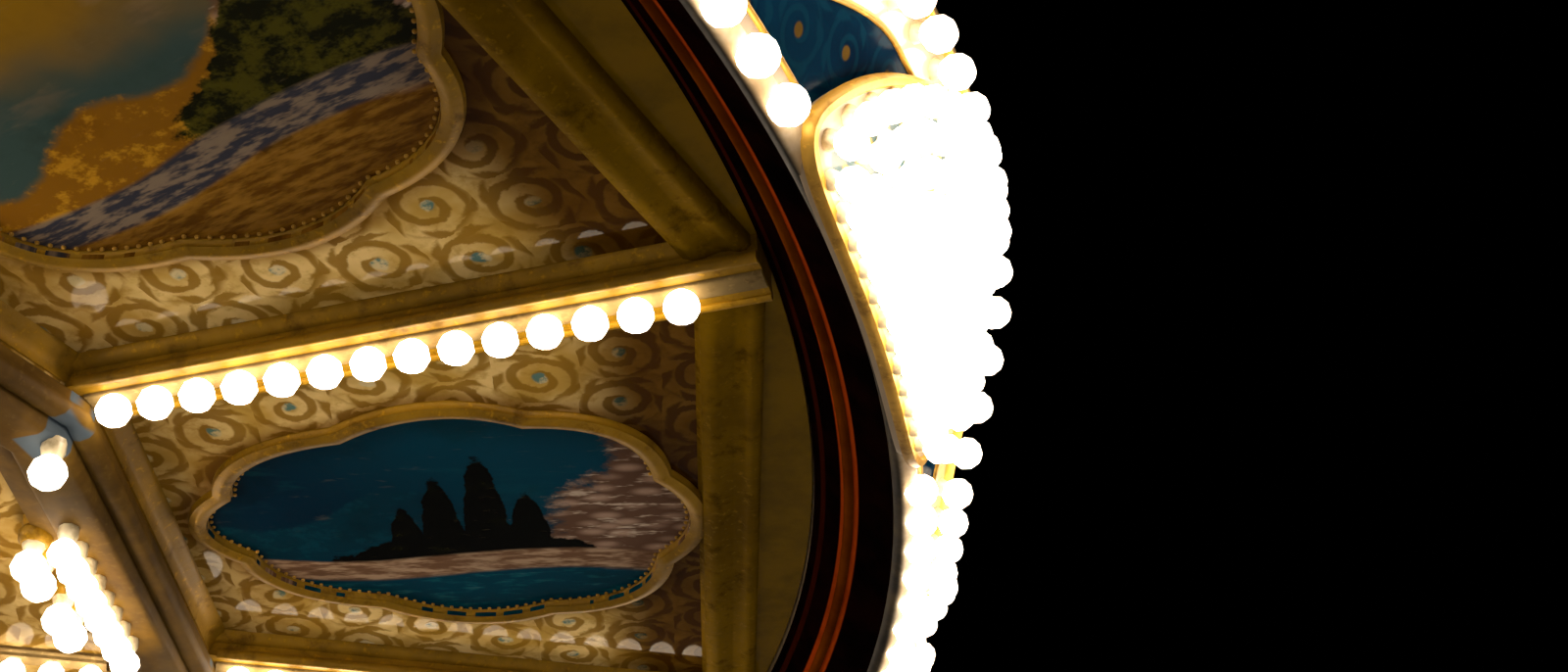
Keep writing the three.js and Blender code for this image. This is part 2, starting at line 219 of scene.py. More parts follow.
def lathe(profile, steps, axis=(0.0, 0.0, 1.0)):
    """A profile of (radius, height) turned round a line through the origin:
    radius (cos t a + sin t b) + height axis. It starts and ends on the axis, with one point each."""
    profile = np.asarray(profile, float)
    line = unit(np.array(axis))
    side = unit(np.cross(line, (0.0, 0.0, 1.0) if abs(line[2]) < 0.9 else (1.0, 0.0, 0.0)))
    t = turns(steps)[:, None]
    ring = np.cos(t) * side + np.sin(t) * np.cross(line, side)
    rings = profile[1:-1, None, :1] * ring + profile[1:-1, None, 1:] * line
    return capped(rings, profile[[0, -1], 1:] * line)


def ring_of(profile, steps):
    """A closed profile of (radius, height) turned round Z: (r cos t, r sin t, h)."""
    radius, height = np.asarray(profile, float).T
    return grid(at(turns(steps)[:, None], radius, height), closed=True)


def carried(profile, path, lift, closed=False):
    """A closed profile of (across, out) carried along a path: path + across * (tangent x lift) + out * lift.
    At each corner the across direction is stretched by 1 / cos of half the turn, which mitres it."""
    profile = np.asarray(profile, float)
    path = np.asarray(path, float)
    lift = np.broadcast_to(np.asarray(lift, float), path.shape)
    if closed:
        before, after = path - np.roll(path, 1, 0), np.roll(path, -1, 0) - path
    else:
        steps = np.diff(path, axis=0)
        before, after = np.vstack([steps[:1], steps]), np.vstack([steps, steps[-1:]])
    after = unit(after)
    tangent = unit(unit(before) + after)
    stretch = 1 / np.clip(np.einsum("ij,ij->i", tangent, after), 0.4, 1)
    across = unit(np.cross(tangent, lift)) * stretch[:, None]
    points = path[:, None] + across[:, None] * profile[:, :1] + lift[:, None] * profile[:, 1:]
    return grid(points, closed)


def both_sides(half):
    """Half a section of (across, out), then its mirror image in reverse."""
    return half + [(-across, out) for across, out in reversed(half)]


def half_steps(path, spacing, whole=round):
    """The middles of even steps of about a spacing along a path, and the distance walked at its points."""
    walked = np.concatenate([[0.0], np.cumsum(np.linalg.norm(np.diff(path, axis=0), axis=1))])
    count = max(1, whole(walked[-1] / spacing))
    return (np.arange(count) + 0.5) * walked[-1] / count, walked


def spots_along(path, spacing, whole=round):
    """Spots at the middles of even steps along a path."""
    stops, walked = half_steps(path, spacing, whole)
    return np.stack([np.interp(stops, walked, column) for column in path.T], -1)


def shown(name, data):
    """An object made of its data and linked to the scene."""
    made = bpy.data.objects.new(name, data)
    bpy.context.scene.collection.objects.link(made)
    return made


def meshed(name, form, finishes, smooth=0.0):
    """A form as an object at the origin, smooth where its faces meet under an angle."""
    mesh = bpy.data.meshes.new(name)
    mesh.from_pydata(form.points.tolist(), [], [row for faces in form.faces for row in faces.tolist()])
    for finish in finishes:
        mesh.materials.append(finish)
    marks = np.repeat(form.marks, [len(faces) for faces in form.faces])
    mesh.polygons.foreach_set("material_index", marks.astype(np.int32))
    if form.uv.any():
        corners = np.zeros(len(mesh.loops), np.int32)
        mesh.loops.foreach_get("vertex_index", corners)
        layer = mesh.uv_layers.new(name="UVMap")
        layer.data.foreach_set("uv", form.uv[corners].astype(np.float32).ravel())
    if smooth:
        mesh.shade_smooth()
        mesh.set_sharp_from_angle(angle=math.radians(smooth))
    return shown(name, mesh)


def piece(name, form, *finishes, body="canopy", slot=None, smooth=35, replaces=()):
    """A form as a piece that rides on a body, in place of the frame's nodes if it replaces any."""
    made = meshed(name, form, finishes, smooth)
    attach(made, body)
    if replaces:
        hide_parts(*replaces)


def gilded(name, form, *finishes, smooth=50, replaces=()):
    """A piece of the canopy."""
    piece(name, form, *finishes, slot="gilding", smooth=smooth, replaces=replaces)


# Shaders


def maths(operation, last=False):
    """A method of Link that adds a Math node, with the link as its first value or as its last."""

    def added(self, *others):
        values = (*others, self) if last else (self, *others)
        return self.finish.node("ShaderNodeMath", {"operation": operation}, dict(enumerate(values)))

    return added


class Link:
    """A socket whose operators add Math nodes to its finish."""

    def __init__(self, finish, socket):
        self.finish = finish
        self.socket = socket

    __add__ = maths("ADD")
    __radd__ = maths("ADD", last=True)
    __sub__ = maths("SUBTRACT")
    __rsub__ = maths("SUBTRACT", last=True)
    __mul__ = maths("MULTIPLY")
    __rmul__ = maths("MULTIPLY", last=True)
    __truediv__ = maths("DIVIDE")
    __mod__ = maths("FLOORED_MODULO")
    __pow__ = maths("POWER")
    __abs__ = maths("ABSOLUTE")
    floor = maths("FLOOR")
    sine = maths("SINE")
    cosine = maths("COSINE")
    angle_with = maths("ARCTAN2")
    most = maths("MAXIMUM")

    def __neg__(self):
        return self * -1.0

    def rises(self, low, high):
        """0 below low, 1 above high, smooth between. With low above high it falls instead."""
        if low > high:
            return 1 - self.rises(high, low)
        values = {"Value": self, "From Min": low, "From Max": high}
        return self.finish.node("ShaderNodeMapRange", {"interpolation_type": "SMOOTHSTEP"}, values)

    def near(self, middle, width, soft):
        """1 within half a width of a middle value, falling to 0 over a soft edge."""
        return abs(self - middle).rises(width / 2 + soft, width / 2)


class Finish:
    """A procedural material being mixed: its tree and its shader."""

    def __init__(self, name, **constants):
        self.material = bpy.data.materials.new(name)
        self.material.use_nodes = True
        self.tree = self.material.node_tree
        self.tree.nodes.clear()
        out = self.tree.nodes.new("ShaderNodeOutputMaterial")
        self.shader = self.tree.nodes.new("ShaderNodeBsdfPrincipled")
        self.tree.links.new(self.shader.outputs[0], out.inputs[0])
        for socket, value in constants.items():
            self.shader.inputs[socket.replace("_", " ")].default_value = value

    def node(self, kind, settings, values, output=0):
        """Adds a node of a type, sets its settings, then gives its sockets values or links."""
        made = self.tree.nodes.new(kind)
        for setting, value in settings.items():
            setattr(made, setting, value)
        for socket, value in values.items():
            if isinstance(value, Link):
                self.tree.links.new(value.socket, made.inputs[socket])
            else:
                made.inputs[socket].default_value = value
        return Link(self, made.outputs[output])

    def spot(self):
        """The object coordinates."""
        return self.node("ShaderNodeTexCoord", {}, {}, output=3)

    def own_place(self):
        """The two numbers of the piece's UV."""
        return parts(self.node("ShaderNodeUVMap", {"uv_map": "UVMap"}, {}))[:2]

    def cloud(self, scale, detail=2.0, roughness=0.55):
        """Noise over the object coordinates."""
        return noise(self.spot(), scale, detail, roughness)

    def give(self, socket, value):
        """Links a varying value to one of the shader's sockets."""
        self.tree.links.new(value.socket, self.shader.inputs[socket])

    def done(self, colour, roughness, height=None, distance=0.001, strength=0.4):
        """The material with its colour, its roughness and a bump from a height that varies from 0 to 1."""
        self.give("Base Color", colour)
        self.give("Roughness", roughness)
        if height:
            values = {"Height": height, "Distance": distance, "Strength": strength}
            self.give("Normal", self.node("ShaderNodeBump", {}, values))
        return self.material


def parts(place):
    """The three numbers of a vector."""
    outputs = place.finish.node("ShaderNodeSeparateXYZ", {}, {0: place}).socket.node.outputs
    return [Link(place.finish, socket) for socket in outputs]


def vector(x, y, z=0.0):
    return x.finish.node("ShaderNodeCombineXYZ", {}, {0: x, 1: y, 2: z})


def scaled(place, by):
    return place.finish.node("ShaderNodeVectorMath", {"operation": "MULTIPLY"}, {0: place, 1: by})


def length(x, y):
    return (x * x + y * y) ** 0.5


def noise(place, scale, detail=2.0, roughness=0.55):
    values = {"Vector": place, "Scale": scale, "Detail": detail, "Roughness": roughness}
    return place.finish.node("ShaderNodeTexNoise", {}, values)


def cells(place, scale):
    """The distance to the nearest of the points scattered through space."""
    return place.finish.node("ShaderNodeTexVoronoi", {}, {"Vector": place, "Scale": scale})


def mix(share, first, second):
    """The first colour where share is 0, the second where it is 1."""
    values = {0: share}
    for socket, colour in ((6, first), (7, second)):
        values[socket] = colour if isinstance(colour, Link) else (*colour, 1.0)
    return share.finish.node("ShaderNodeMix", {"data_type": "RGBA"}, values, output=2)


def shade(share, colour, by):
    """A colour multiplied by another, in proportion to share."""
    settings = {"data_type": "RGBA", "blend_type": "MULTIPLY"}
    return colour.finish.node("ShaderNodeMix", settings, {0: share, 6: colour, 7: (*by, 1.0)}, output=2)


def polar(finish):
    """Radius, angle in sectors and height of the object coordinates."""
    x, y, z = parts(finish.spot())
    return length(x, y), y.angle_with(x) / SECTOR, z


def aged_gold(name, light, dark, gloss, coat=0.06):
    """Gold paint gone olive: two golds mixed by cloudy noise, darker where dirt gathers, brushed relief."""
    finish = Finish(name, Coat_Weight=coat, Coat_Roughness=0.2, Specular_IOR_Level=3 * coat)
    cloud = finish.cloud(3.1, 4.0, 0.62)
    fine = finish.cloud(47.0, 3.0, 0.6)
    dirt = finish.cloud(11.0, 5.0, 0.7).rises(0.52, 0.72)
    colour = mix(cloud.rises(0.3, 0.7), dark, light)
    colour = mix(fine.rises(0.56, 0.74) * 0.5, colour, tuple(min(1.0, 1.7 * c) for c in light))
    colour = shade(dirt * 0.75, colour, (0.4, 0.34, 0.24))
    finish.give("Metallic", 0.25 + 0.4 * fine.rises(0.4, 0.7))
    return finish.done(colour, gloss + 0.25 * cloud + 0.2 * dirt, fine + 0.5 * cloud, 0.0015, 0.6)


def scrollwork(u, v, cell, thickness):
    """Spirals on a staggered grid of cells: the share of a turn left over from
    winding * distance - angle / 2 pi marks the line, and every other cell winds the other way."""
    column = (u / cell).floor()
    shifted = v / cell + 0.5 * (column % 2.0)
    row = shifted.floor()
    hand = 1 - 2 * ((column + row) % 2.0)
    across = (u / cell - column - 0.5) * hand
    along = shifted - row - 0.5
    distance = length(across, along)
    turn = along.angle_with(across) / (2 * math.pi)
    winding = (distance * 3.4 - turn) % 1.0
    line = winding.near(0.5, thickness, 0.12) * distance.rises(0.56, 0.44)
    eye = distance.rises(0.11, 0.07)
    leaf = ((turn * 5.0 + distance * 2.2) % 1.0).near(0.5, 0.3, 0.15) * distance.near(0.47, 0.1, 0.06)
    return line.most(leaf), eye


def ornamented(u, v, seed, cell=0.21):
    """Cream and gold ground with olive-brown scrolls, teal eyes and uneven wear."""
    wobble = noise(vector(u, v, seed), 5.0, 3.0)
    mottle = noise(vector(u, v, seed), 16.0, 4.0, 0.65)
    scroll, eye = scrollwork(u + 0.05 * wobble, v + 0.05 * mottle, cell, 0.3)
    ground = mix(wobble.rises(0.35, 0.65), (0.46, 0.29, 0.06), (0.72, 0.53, 0.22))
    ground = mix(mottle.rises(0.48, 0.68) * 0.6, ground, (0.34, 0.2, 0.025))
    ground = mix(scroll * 0.9, ground, (0.25, 0.135, 0.012))
    rim = mix(mottle.rises(0.45, 0.6), (0.6, 0.5, 0.28), (0.1, 0.19, 0.17))
    return mix(eye, ground, rim)


def lobed(p, q):
    """How far out a point is in the cartouche, less its lobed edge: negative inside."""
    along = p / OVAL_HALF_LENGTH
    across = q / OVAL_HALF_WIDTH / (1 + OVAL_SWELL * along)
    out = length(along, across)
    turn = across.angle_with(along)
    edge = 1 - OVAL_LOBE_DEPTH * (1 - abs((turn * (OVAL_LOBES / 2)).cosine()))
    return out - edge


def painted_scene(right, up, kind, seed):
    """A plain landscape in the old ride-painter's way: sky, cloud bank, far hills, a cliff, dark trees,
    a pale shore and streaked water. kind is 0 for a lake, 1 for dusk, 2 for fields; dusk faces the
    other way from the two others, and seed moves the noise."""

    dusk, fields = kind.near(1.0, 0.5, 0.1), kind.near(2.0, 0.5, 0.1)

    def pick(on_lake, at_dusk, in_fields):
        return mix(fields, mix(dusk, on_lake, at_dusk), in_fields)

    right = right * (2 * dusk - 1)
    place = vector(right, up, seed)
    broad = noise(place, 1.7, 3.0)
    brush = noise(scaled(place, (7.0, 22.0, 1.0)), 1.0, 3.0, 0.65)
    dab = noise(place, 9.0, 4.0, 0.7)
    bent = right + 0.35 * (broad - 0.5)
    lake_sky = mix((right - 0.6 * up).rises(-0.7, 0.6), (0.0005, 0.042, 0.08), (0.0002, 0.015, 0.036))
    dusk_sky = mix(up.rises(-0.2, 0.7), (0.34, 0.2, 0.13), (0.02, 0.085, 0.12))
    field_sky = mix((up + 0.6 * (broad - 0.5)).rises(0.0, 0.5), (0.04, 0.075, 0.07), (0.27, 0.145, 0.008))
    colour = pick(lake_sky, dusk_sky, field_sky)
    cloud = noise(scaled(place, (1.6, 3.6, 1.0)), 1.4, 4.0).rises(0.55, 0.7) * up.rises(-0.1, 0.35)
    colour = mix(cloud * 0.6, colour, pick((0.002, 0.06, 0.095), (0.46, 0.3, 0.19), (0.26, 0.17, 0.085)))
    hill = 0.02 + 0.16 * (bent * 3.1 + seed).sine() + 0.12 * (bent * 7.3).sine()
    hills = (hill - up + 0.06 * (dab - 0.5)).rises(-0.02, 0.04)
    colour = mix(hills, colour, pick((0.0005, 0.026, 0.05), (0.014, 0.03, 0.022), (0.24, 0.105, 0.005)))
    lit_hill = pick((0.001, 0.04, 0.068), (0.05, 0.055, 0.014), (0.5, 0.25, 0.012))
    colour = mix(hills * dab.rises(0.5, 0.65), colour, lit_hill)
    cliff_edge = -0.38 + 0.3 * (dab - 0.5) + 0.5 * (broad - 0.5) - 0.45 * abs(up)
    cliff = (cliff_edge - right).rises(-0.03, 0.06)
    stone = cells(scaled(place, (1.0, 1.7, 1.0)), 7.0).rises(0.1, 0.6)
    colour = mix(cliff, colour, mix(stone, (0.4, 0.27, 0.2), (0.12, 0.065, 0.04)))
    colour = mix(cliff * brush.rises(0.55, 0.68), colour, (0.52, 0.42, 0.33))

    def crown(middle_right, middle_up, half_wide, half_high):
        high = (up - middle_up) / half_high
        wide = (right - middle_right) / half_wide * (1 + 0.45 * (1 - fields) * high)
        return (wide * wide + high * high + 1.1 * (dab - 0.5)).rises(1.08, 0.9)

    shift = 0.12 * (seed * 1.7).sine() - 0.4 * fields
    drop = 0.2 * fields
    wider = 0.08 + 0.09 * fields
    trees = crown(shift - 0.16, 0.06 - drop, 0.085 + 0.155 * fields, 0.52 - drop)
    trees = trees.most(crown(shift + 0.02, -0.06 - drop, wider, 0.44 - drop))
    trees = trees.most(crown(shift - 0.33, -0.12, wider, 0.36))
    trees = trees.most(crown(shift + 0.17, -0.18 - drop, 0.07, 0.28))
    trees = trees.most(crown(shift - 0.1, -0.3, 0.5, 0.19))
    leaf = mix(dab.rises(0.55, 0.75), (0.0003, 0.0006, 0.0002), (0.007, 0.008, 0.001))
    warm_leaf = mix(dab.rises(0.42, 0.62), (0.005, 0.006, 0.0005), (0.065, 0.058, 0.004))
    colour = mix(trees, colour, pick(leaf, leaf, warm_leaf))
    ripple = 0.05 * (bent * 4.0).sine()
    shore = (up + 0.46 + ripple).near(0.0, 0.17, 0.03)
    bank = mix(brush.rises(0.4, 0.65), (0.16, 0.085, 0.045), (0.42, 0.29, 0.19))
    river = mix(brush.rises(0.42, 0.6), (0.036, 0.038, 0.055), (0.22, 0.165, 0.115))
    colour = mix(shore, colour, pick(bank, bank, river))
    water = (up + ripple).rises(-0.53, -0.59)
    streak = mix(brush.rises(0.5, 0.7), (0.0003, 0.04, 0.075), (0.004, 0.09, 0.125))
    straw = mix(brush.rises(0.35, 0.65), (0.105, 0.042, 0.002), (0.27, 0.135, 0.015))
    colour = mix(water, colour, pick(streak, streak, straw))
    return mix(brush.rises(0.62, 0.82) * 0.15, colour, (0.34, 0.26, 0.14)), brush


def ceiling_paint():
    """The panels: a framed landscape on scrollwork and gold beyond the outer moulding, all varnished."""
    finish = Finish("ceiling_paint", Coat_Weight=0.16, Coat_Roughness=0.05, Specular_IOR_Level=0.0)
    radius, sector, _ = polar(finish)
    number = sector.floor() + 24.0
    kind, seed = number % 3.0, number * 3.7
    local = (sector - sector.floor() - 0.5) * SECTOR
    p = radius * local.cosine() - OVAL_CENTRE
    q = radius * local.sine()
    out = lobed(p, q)
    ground = ornamented(p, q, seed)
    # painted shade: the ground is darkened towards the panel's outer end and, less, towards its inner end
    ground = shade(p.rises(0.32, 0.56), ground, (0.17, 0.115, 0.03))
    ground = shade(p.rises(-0.4, -0.62), ground, (0.66, 0.62, 0.54))
    scene, brush = painted_scene(p / OVAL_HALF_LENGTH, -q / OVAL_HALF_WIDTH, kind, seed)
    # painted shadow of the frame: the ground darkens along the frame's outer edge, and the picture darkens
    # towards its edge inside
    shadow = out.near(0.0, 0.1, 0.12)
    ground = shade(shadow * 0.8, ground, (0.4, 0.3, 0.18))
    scene = shade(out.rises(-0.28, 0.0) * 0.55, scene, (0.5, 0.4, 0.3))
    colour = mix(out.rises(0.01, -0.01), ground, scene)
    cloud = finish.cloud(4.0, 5.0, 0.65)
    gold = mix(cloud.rises(0.35, 0.68), (0.115, 0.066, 0.001), (0.2, 0.115, 0.002))
    colour = mix((p + OVAL_CENTRE).rises(4.1, 4.11), colour, gold)
    colour = shade(cloud.rises(0.5, 0.75) * 0.5, colour, (0.62, 0.52, 0.36))
    return finish.done(colour, 0.32 + 0.3 * cloud, brush + cloud, 0.0008, 0.2)


def inner_paint():
    """The inner ceiling: rays of cream and gold from the hub, a blue-grey wreath and a gold border."""
    finish = Finish("inner_paint", Coat_Weight=0.2, Coat_Roughness=0.06, Specular_IOR_Level=0.0)
    radius, sector, _ = polar(finish)
    shifted = sector + 0.5
    local = (shifted - shifted.floor() - 0.5) * SECTOR
    p, q = radius * local.cosine(), radius * local.sine()
    colour = shade(1.0, ornamented(p, q, 3.0, 0.24), (0.7, 0.68, 0.64))
    ray = ((sector * 4.0) % 1.0).near(0.5, 0.5, 0.03)
    cloud = finish.cloud(3.0, 5.0, 0.6)
    rays = mix(ray, (0.38, 0.28, 0.13), (0.25, 0.12, 0.012))
    colour = mix(radius.rises(1.32, 1.3), colour, rays)
    wreath = radius.near(1.62, 0.3, 0.01)
    blue = mix(cloud.rises(0.35, 0.65), (0.03, 0.1, 0.14), (0.14, 0.21, 0.22))
    petals = ((sector * 8.0) % 1.0 - 0.5) * (4.0 / 3.0)
    bud = (petals * petals + ((radius - 1.62) * 9.0) ** 2.0).rises(0.5, 0.42)
    colour = mix(wreath, colour, mix(bud, blue, (0.5, 0.34, 0.11)))
    line = radius.near(1.46, 0.02, 0.004).most(radius.near(1.78, 0.02, 0.004))
    line = line.most(radius.near(1.31, 0.03, 0.004))
    colour = mix(line, colour, (0.22, 0.11, 0.006))
    colour = shade(cloud.rises(0.5, 0.75) * 0.6, colour, (0.6, 0.5, 0.34))
    return finish.done(colour, 0.35 + 0.3 * cloud, cloud, 0.001, 0.4)


def board_paint():
    """The outer face's blue field in the piece's own metres, with paler blue scrolls and gold eyes."""
    finish = Finish("board_paint", Coat_Weight=0.05, Coat_Roughness=0.15, Specular_IOR_Level=0.0)
    across, slope = finish.own_place()
    cloud = finish.cloud(3.5, 5.0, 0.6)
    blue = mix(cloud.rises(0.3, 0.7), (0.0001, 0.006, 0.019), (0.0004, 0.015, 0.038))
    scroll, eye = scrollwork(across, slope + 0.02 * cloud, 0.17, 0.16)
    colour = mix(scroll * 0.6, blue, mix(cloud, (0.0006, 0.014, 0.032), (0.002, 0.03, 0.055)))
    colour = mix(eye, colour, (0.08, 0.046, 0.008))
    colour = shade(cloud.rises(0.55, 0.75) * 0.5, colour, (0.6, 0.5, 0.4))
    return finish.done(colour, 0.3 + 0.25 * cloud, scroll + 0.3 * cloud, 0.0015, 0.5)


def cream_paint():
    """The cream lamp bands: gloss paint yellowed in clouds, rubbed back to gold in specks."""
    finish = Finish("cream_paint", Coat_Weight=0.9, Coat_Roughness=0.06)
    cloud = finish.cloud(2.8, 5.0, 0.62)
    speck = finish.cloud(38.0, 4.0, 0.7).rises(0.62, 0.7)
    colour = mix(cloud.rises(0.32, 0.68), (0.26, 0.18, 0.11), (0.36, 0.29, 0.205))
    colour = mix(speck * 0.7, colour, (0.2, 0.115, 0.03))
    return finish.done(colour, 0.28 + 0.3 * cloud, cloud - 0.4 * speck, 0.0012, 0.5)


def soffit_paint():
    """The sloping soffit: a maroon so dark that it is nearly black, with an orange-red line round its middle.
    """
    finish = Finish("soffit_paint", Specular_IOR_Level=0.0)
    radius, _, _ = polar(finish)
    cloud = finish.cloud(6.0, 4.0, 0.6)
    dark = mix(cloud.rises(0.35, 0.7), (0.001, 0.0005, 0.0004), (0.0055, 0.0011, 0.0008))
    colour = mix(radius.near(SOFFIT_LINE, 0.04, 0.004), dark, (0.26, 0.035, 0.003))
    colour = mix(radius.near(4.418, 0.01, 0.002), colour, (0.02, 0.003, 0.001))
    colour = shade(cloud.rises(0.5, 0.75) * 0.6, colour, (0.5, 0.4, 0.35))
    return finish.done(colour, 0.75 + 0.2 * cloud, cloud, 0.001, 0.4)


def nose_paint():
    """The rounded foot of the boards: cream on its outer side, and painted shade in dark umber where it turns
    under.
    """
    finish = Finish("nose_paint", Specular_IOR_Level=0.1)
    radius, _, _ = polar(finish)
    cloud = finish.cloud(7.0, 4.0, 0.62)
    cream = mix(cloud.rises(0.35, 0.7), (0.5, 0.36, 0.2), (0.7, 0.6, 0.44))
    dark = mix(cloud.rises(0.4, 0.7), (0.006, 0.004, 0.002), (0.05, 0.036, 0.018))
    # painted shade: the side of the foot that turns under the board is dark
    turn = (radius + 0.006 * cloud).rises(NOSE[0] - 0.02, NOSE[0] - 0.002)
    return finish.done(mix(turn, dark, cream), 0.4 + 0.3 * cloud, cloud, 0.001, 0.4)


def backing_paint():
    """The backs of the boards: upright planks of bare pine, greyed, with dark joints every 0.14 m."""
    finish = Finish("backing_paint", Specular_IOR_Level=0.3)
    _, sector, height = polar(finish)
    run = sector * (SECTOR * 4.8 / 0.14)
    grain = noise(vector(run * 3.0, height * 2.2, run.floor()), 2.4, 5.0, 0.65)
    colour = mix(grain.rises(0.3, 0.7), (0.2, 0.13, 0.07), (0.4, 0.3, 0.19))
    joint = (run % 1.0).near(0.5, 0.94, 0.015)
    colour = mix(joint, (0.03, 0.02, 0.012), colour)
    return finish.done(colour, 0.6 + 0.25 * grain, grain * joint, 0.0015, 0.5)


def ring_paint():
    """The band round the inner ceiling: dull umber gilding with a grey-blue block at each corner."""
    finish = Finish("ring_paint", Specular_IOR_Level=0.1)
    radius, sector, _ = polar(finish)
    cloud = finish.cloud(4.0, 4.0, 0.62)
    fine = finish.cloud(42.0, 3.0, 0.6)
    colour = mix(cloud.rises(0.3, 0.7), (0.06, 0.03, 0.003), (0.15, 0.082, 0.01))
    colour = mix(fine.rises(0.55, 0.72) * 0.4, colour, (0.14, 0.085, 0.018))
    corner = ((sector + 0.5) % 1.0 - 0.5) * radius
    block = corner.near(0.0, 0.2, 0.01) * radius.near(2.61, 0.13, 0.01)
    colour = mix(block, colour, mix(cloud, (0.035, 0.05, 0.07), (0.1, 0.13, 0.16)))
    return finish.done(colour, 0.55 + 0.3 * cloud, fine + cloud, 0.0012, 0.5)


def shield_paint():
    """The shields: teal-blue fields in rings with gold between, read from the piece's own disc."""
    finish = Finish("shield_paint", Coat_Weight=0.3, Coat_Roughness=0.08, Specular_IOR_Level=0.2)
    across, slope = finish.own_place()
    out = length(across, slope)
    turn = slope.angle_with(across) / (2 * math.pi)
    cloud = finish.cloud(5.0, 5.0, 0.6)
    blue = mix(cloud.rises(0.3, 0.7), (0.0004, 0.016, 0.028), (0.002, 0.04, 0.058))
    ray = ((turn * 24.0) % 1.0).near(0.5, 0.4, 0.06) * out.near(0.55, 0.4, 0.03)
    colour = mix(ray, blue, (0.17, 0.105, 0.02))
    colour = mix(out.rises(0.84, 0.86), colour, (0.26, 0.2, 0.13))
    return finish.done(colour, 0.3 + 0.3 * cloud, cloud + ray, 0.001, 0.4)


def roof_paint():
    """Cream roof panels with a thin gold line beside each seam, a blue hem, and grey streaks of weather."""
    finish = Finish("roof_paint", Coat_Weight=0.3, Coat_Roughness=0.3)
    radius, sector, _ = polar(finish)
    cloud = finish.cloud(1.3, 5.0, 0.6)
    streak = noise(vector(sector * 40.0, radius * 0.6), 1.0, 3.0)
    colour = mix(cloud.rises(0.3, 0.7), (0.7, 0.63, 0.47), (0.8, 0.75, 0.62))
    colour = shade(streak.rises(0.5, 0.8) * 0.5, colour, (0.62, 0.6, 0.55))
    edge = (sector * 2.0) % 1.0
    gold = (0.45, 0.32, 0.08)
    for side in (edge, 1 - edge):
        colour = mix((side * radius).near(0.22, 0.05, 0.01), colour, gold)
    colour = mix(radius.near(4.52, 0.22, 0.004), colour, (0.01, 0.14, 0.24))
    colour = mix(radius.near(4.38, 0.03, 0.004), colour, gold)
    return finish.done(colour, 0.45 + 0.25 * streak, cloud + 0.3 * streak, 0.002, 0.3)


def enamel(name, base, worn):
    """Enamelled steel: brushed colour, chips that show dark primer, and dust towards the ground."""
    finish = Finish(name, Coat_Weight=0.4, Coat_Roughness=0.2)
    _, _, height = polar(finish)
    cloud = finish.cloud(2.4, 4.0, 0.6)
    chip = finish.cloud(21.0, 5.0, 0.75).rises(0.66, 0.7)
    colour = mix(cloud.rises(0.3, 0.7), base, tuple(1.6 * c for c in base))
    colour = mix(chip, colour, worn)
    dust = (height + 0.5 * cloud).rises(0.65, 0.2)
    colour = mix(dust * 0.45, colour, (0.2, 0.17, 0.13))
    return finish.done(colour, 0.3 + 0.3 * cloud + 0.3 * dust, cloud - 0.6 * chip, 0.0012, 0.5)


def lacquer_paint():
    """Orange-red lacquer on the soffit's rod, browned in patches."""
    finish = Finish("orange_lacquer", Specular_IOR_Level=0.0)
    cloud = finish.cloud(2.6, 4.0, 0.6)
    colour = mix(cloud.rises(0.3, 0.7), (0.06, 0.01, 0.0006), (0.13, 0.03, 0.0012))
    return finish.done(colour, 0.45 + 0.3 * cloud, cloud, 0.001, 0.3)


def lit_glass():
    """Opal lamp glass, lit warm white: each lamp's glow differs a little."""
    finish = Finish("lit_glass", Roughness=0.25, Emission_Strength=12.0)
    tone = finish.cloud(9.0, 1.0)
    finish.give("Base Color", mix(tone, (0.9, 0.86, 0.78), (0.95, 0.93, 0.88)))
    finish.give("Emission Color", mix(tone.rises(0.35, 0.65), (1.0, 0.78, 0.55), (1.0, 0.86, 0.68)))
    return finish.material


def holder_ceramic():
    """Cream glazed lamp holders with a little soot."""
    finish = Finish("holder_ceramic", Coat_Weight=0.5, Coat_Roughness=0.1)
    soot = finish.cloud(30.0, 3.0).rises(0.45, 0.75)
    return finish.done(mix(soot, (0.62, 0.54, 0.36), (0.34, 0.27, 0.15)), 0.35 + 0.3 * soot)


gilt = aged_gold("gilt", (0.31, 0.17, 0.006), (0.16, 0.085, 0.002), 0.4)
dull_gilt = aged_gold("dull_gilt", (0.175, 0.1, 0.0015), (0.095, 0.051, 0.0008), 0.6, coat=0.0)
cream_gilt = aged_gold("cream_gilt", (0.25, 0.175, 0.07), (0.13, 0.085, 0.028), 0.5, coat=0.02)
ring_brown = ring_paint()
nose_cream_and_shade = nose_paint()
backings = backing_paint()
bright_gilt = aged_gold("bright_gilt", (0.52, 0.3, 0.045), (0.3, 0.16, 0.018), 0.3)
panels = ceiling_paint()
inner = inner_paint()
boards = board_paint()
soffits = soffit_paint()
shields = shield_paint()
roofing = roof_paint()
cream_bands = cream_paint()
red_steel = enamel("red_steel", (0.085, 0.01, 0.007), (0.03, 0.024, 0.02))
lacquer = lacquer_paint()
glass = lit_glass()
ceramic = holder_ceramic()

# Carried-over frame nodes keep their shapes and take these finishes

for name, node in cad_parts.items():
    finish = gilt
    if name.startswith("ceiling_panel"):
        finish = panels
    elif name.startswith("inner_ceiling"):
        finish = inner
    elif name in ("ground_frame", "mast"):
        finish = red_steel
    node.data.materials.clear()
    node.data.materials.append(finish)


# Mouldings on the ceiling

BEAD = [(0.5, 0.0), (0.46, 0.45), (0.25, 0.82), (0.0, 0.95), (-0.25, 0.82), (-0.46, 0.45), (-0.5, 0.0)]
DOWN = (0.0, 0.0, -1.0)


def bead(width, depth=None):
    """A half-round section of a width and a depth, with its flat at 0."""
    return np.array(BEAD) * (width, depth or width)


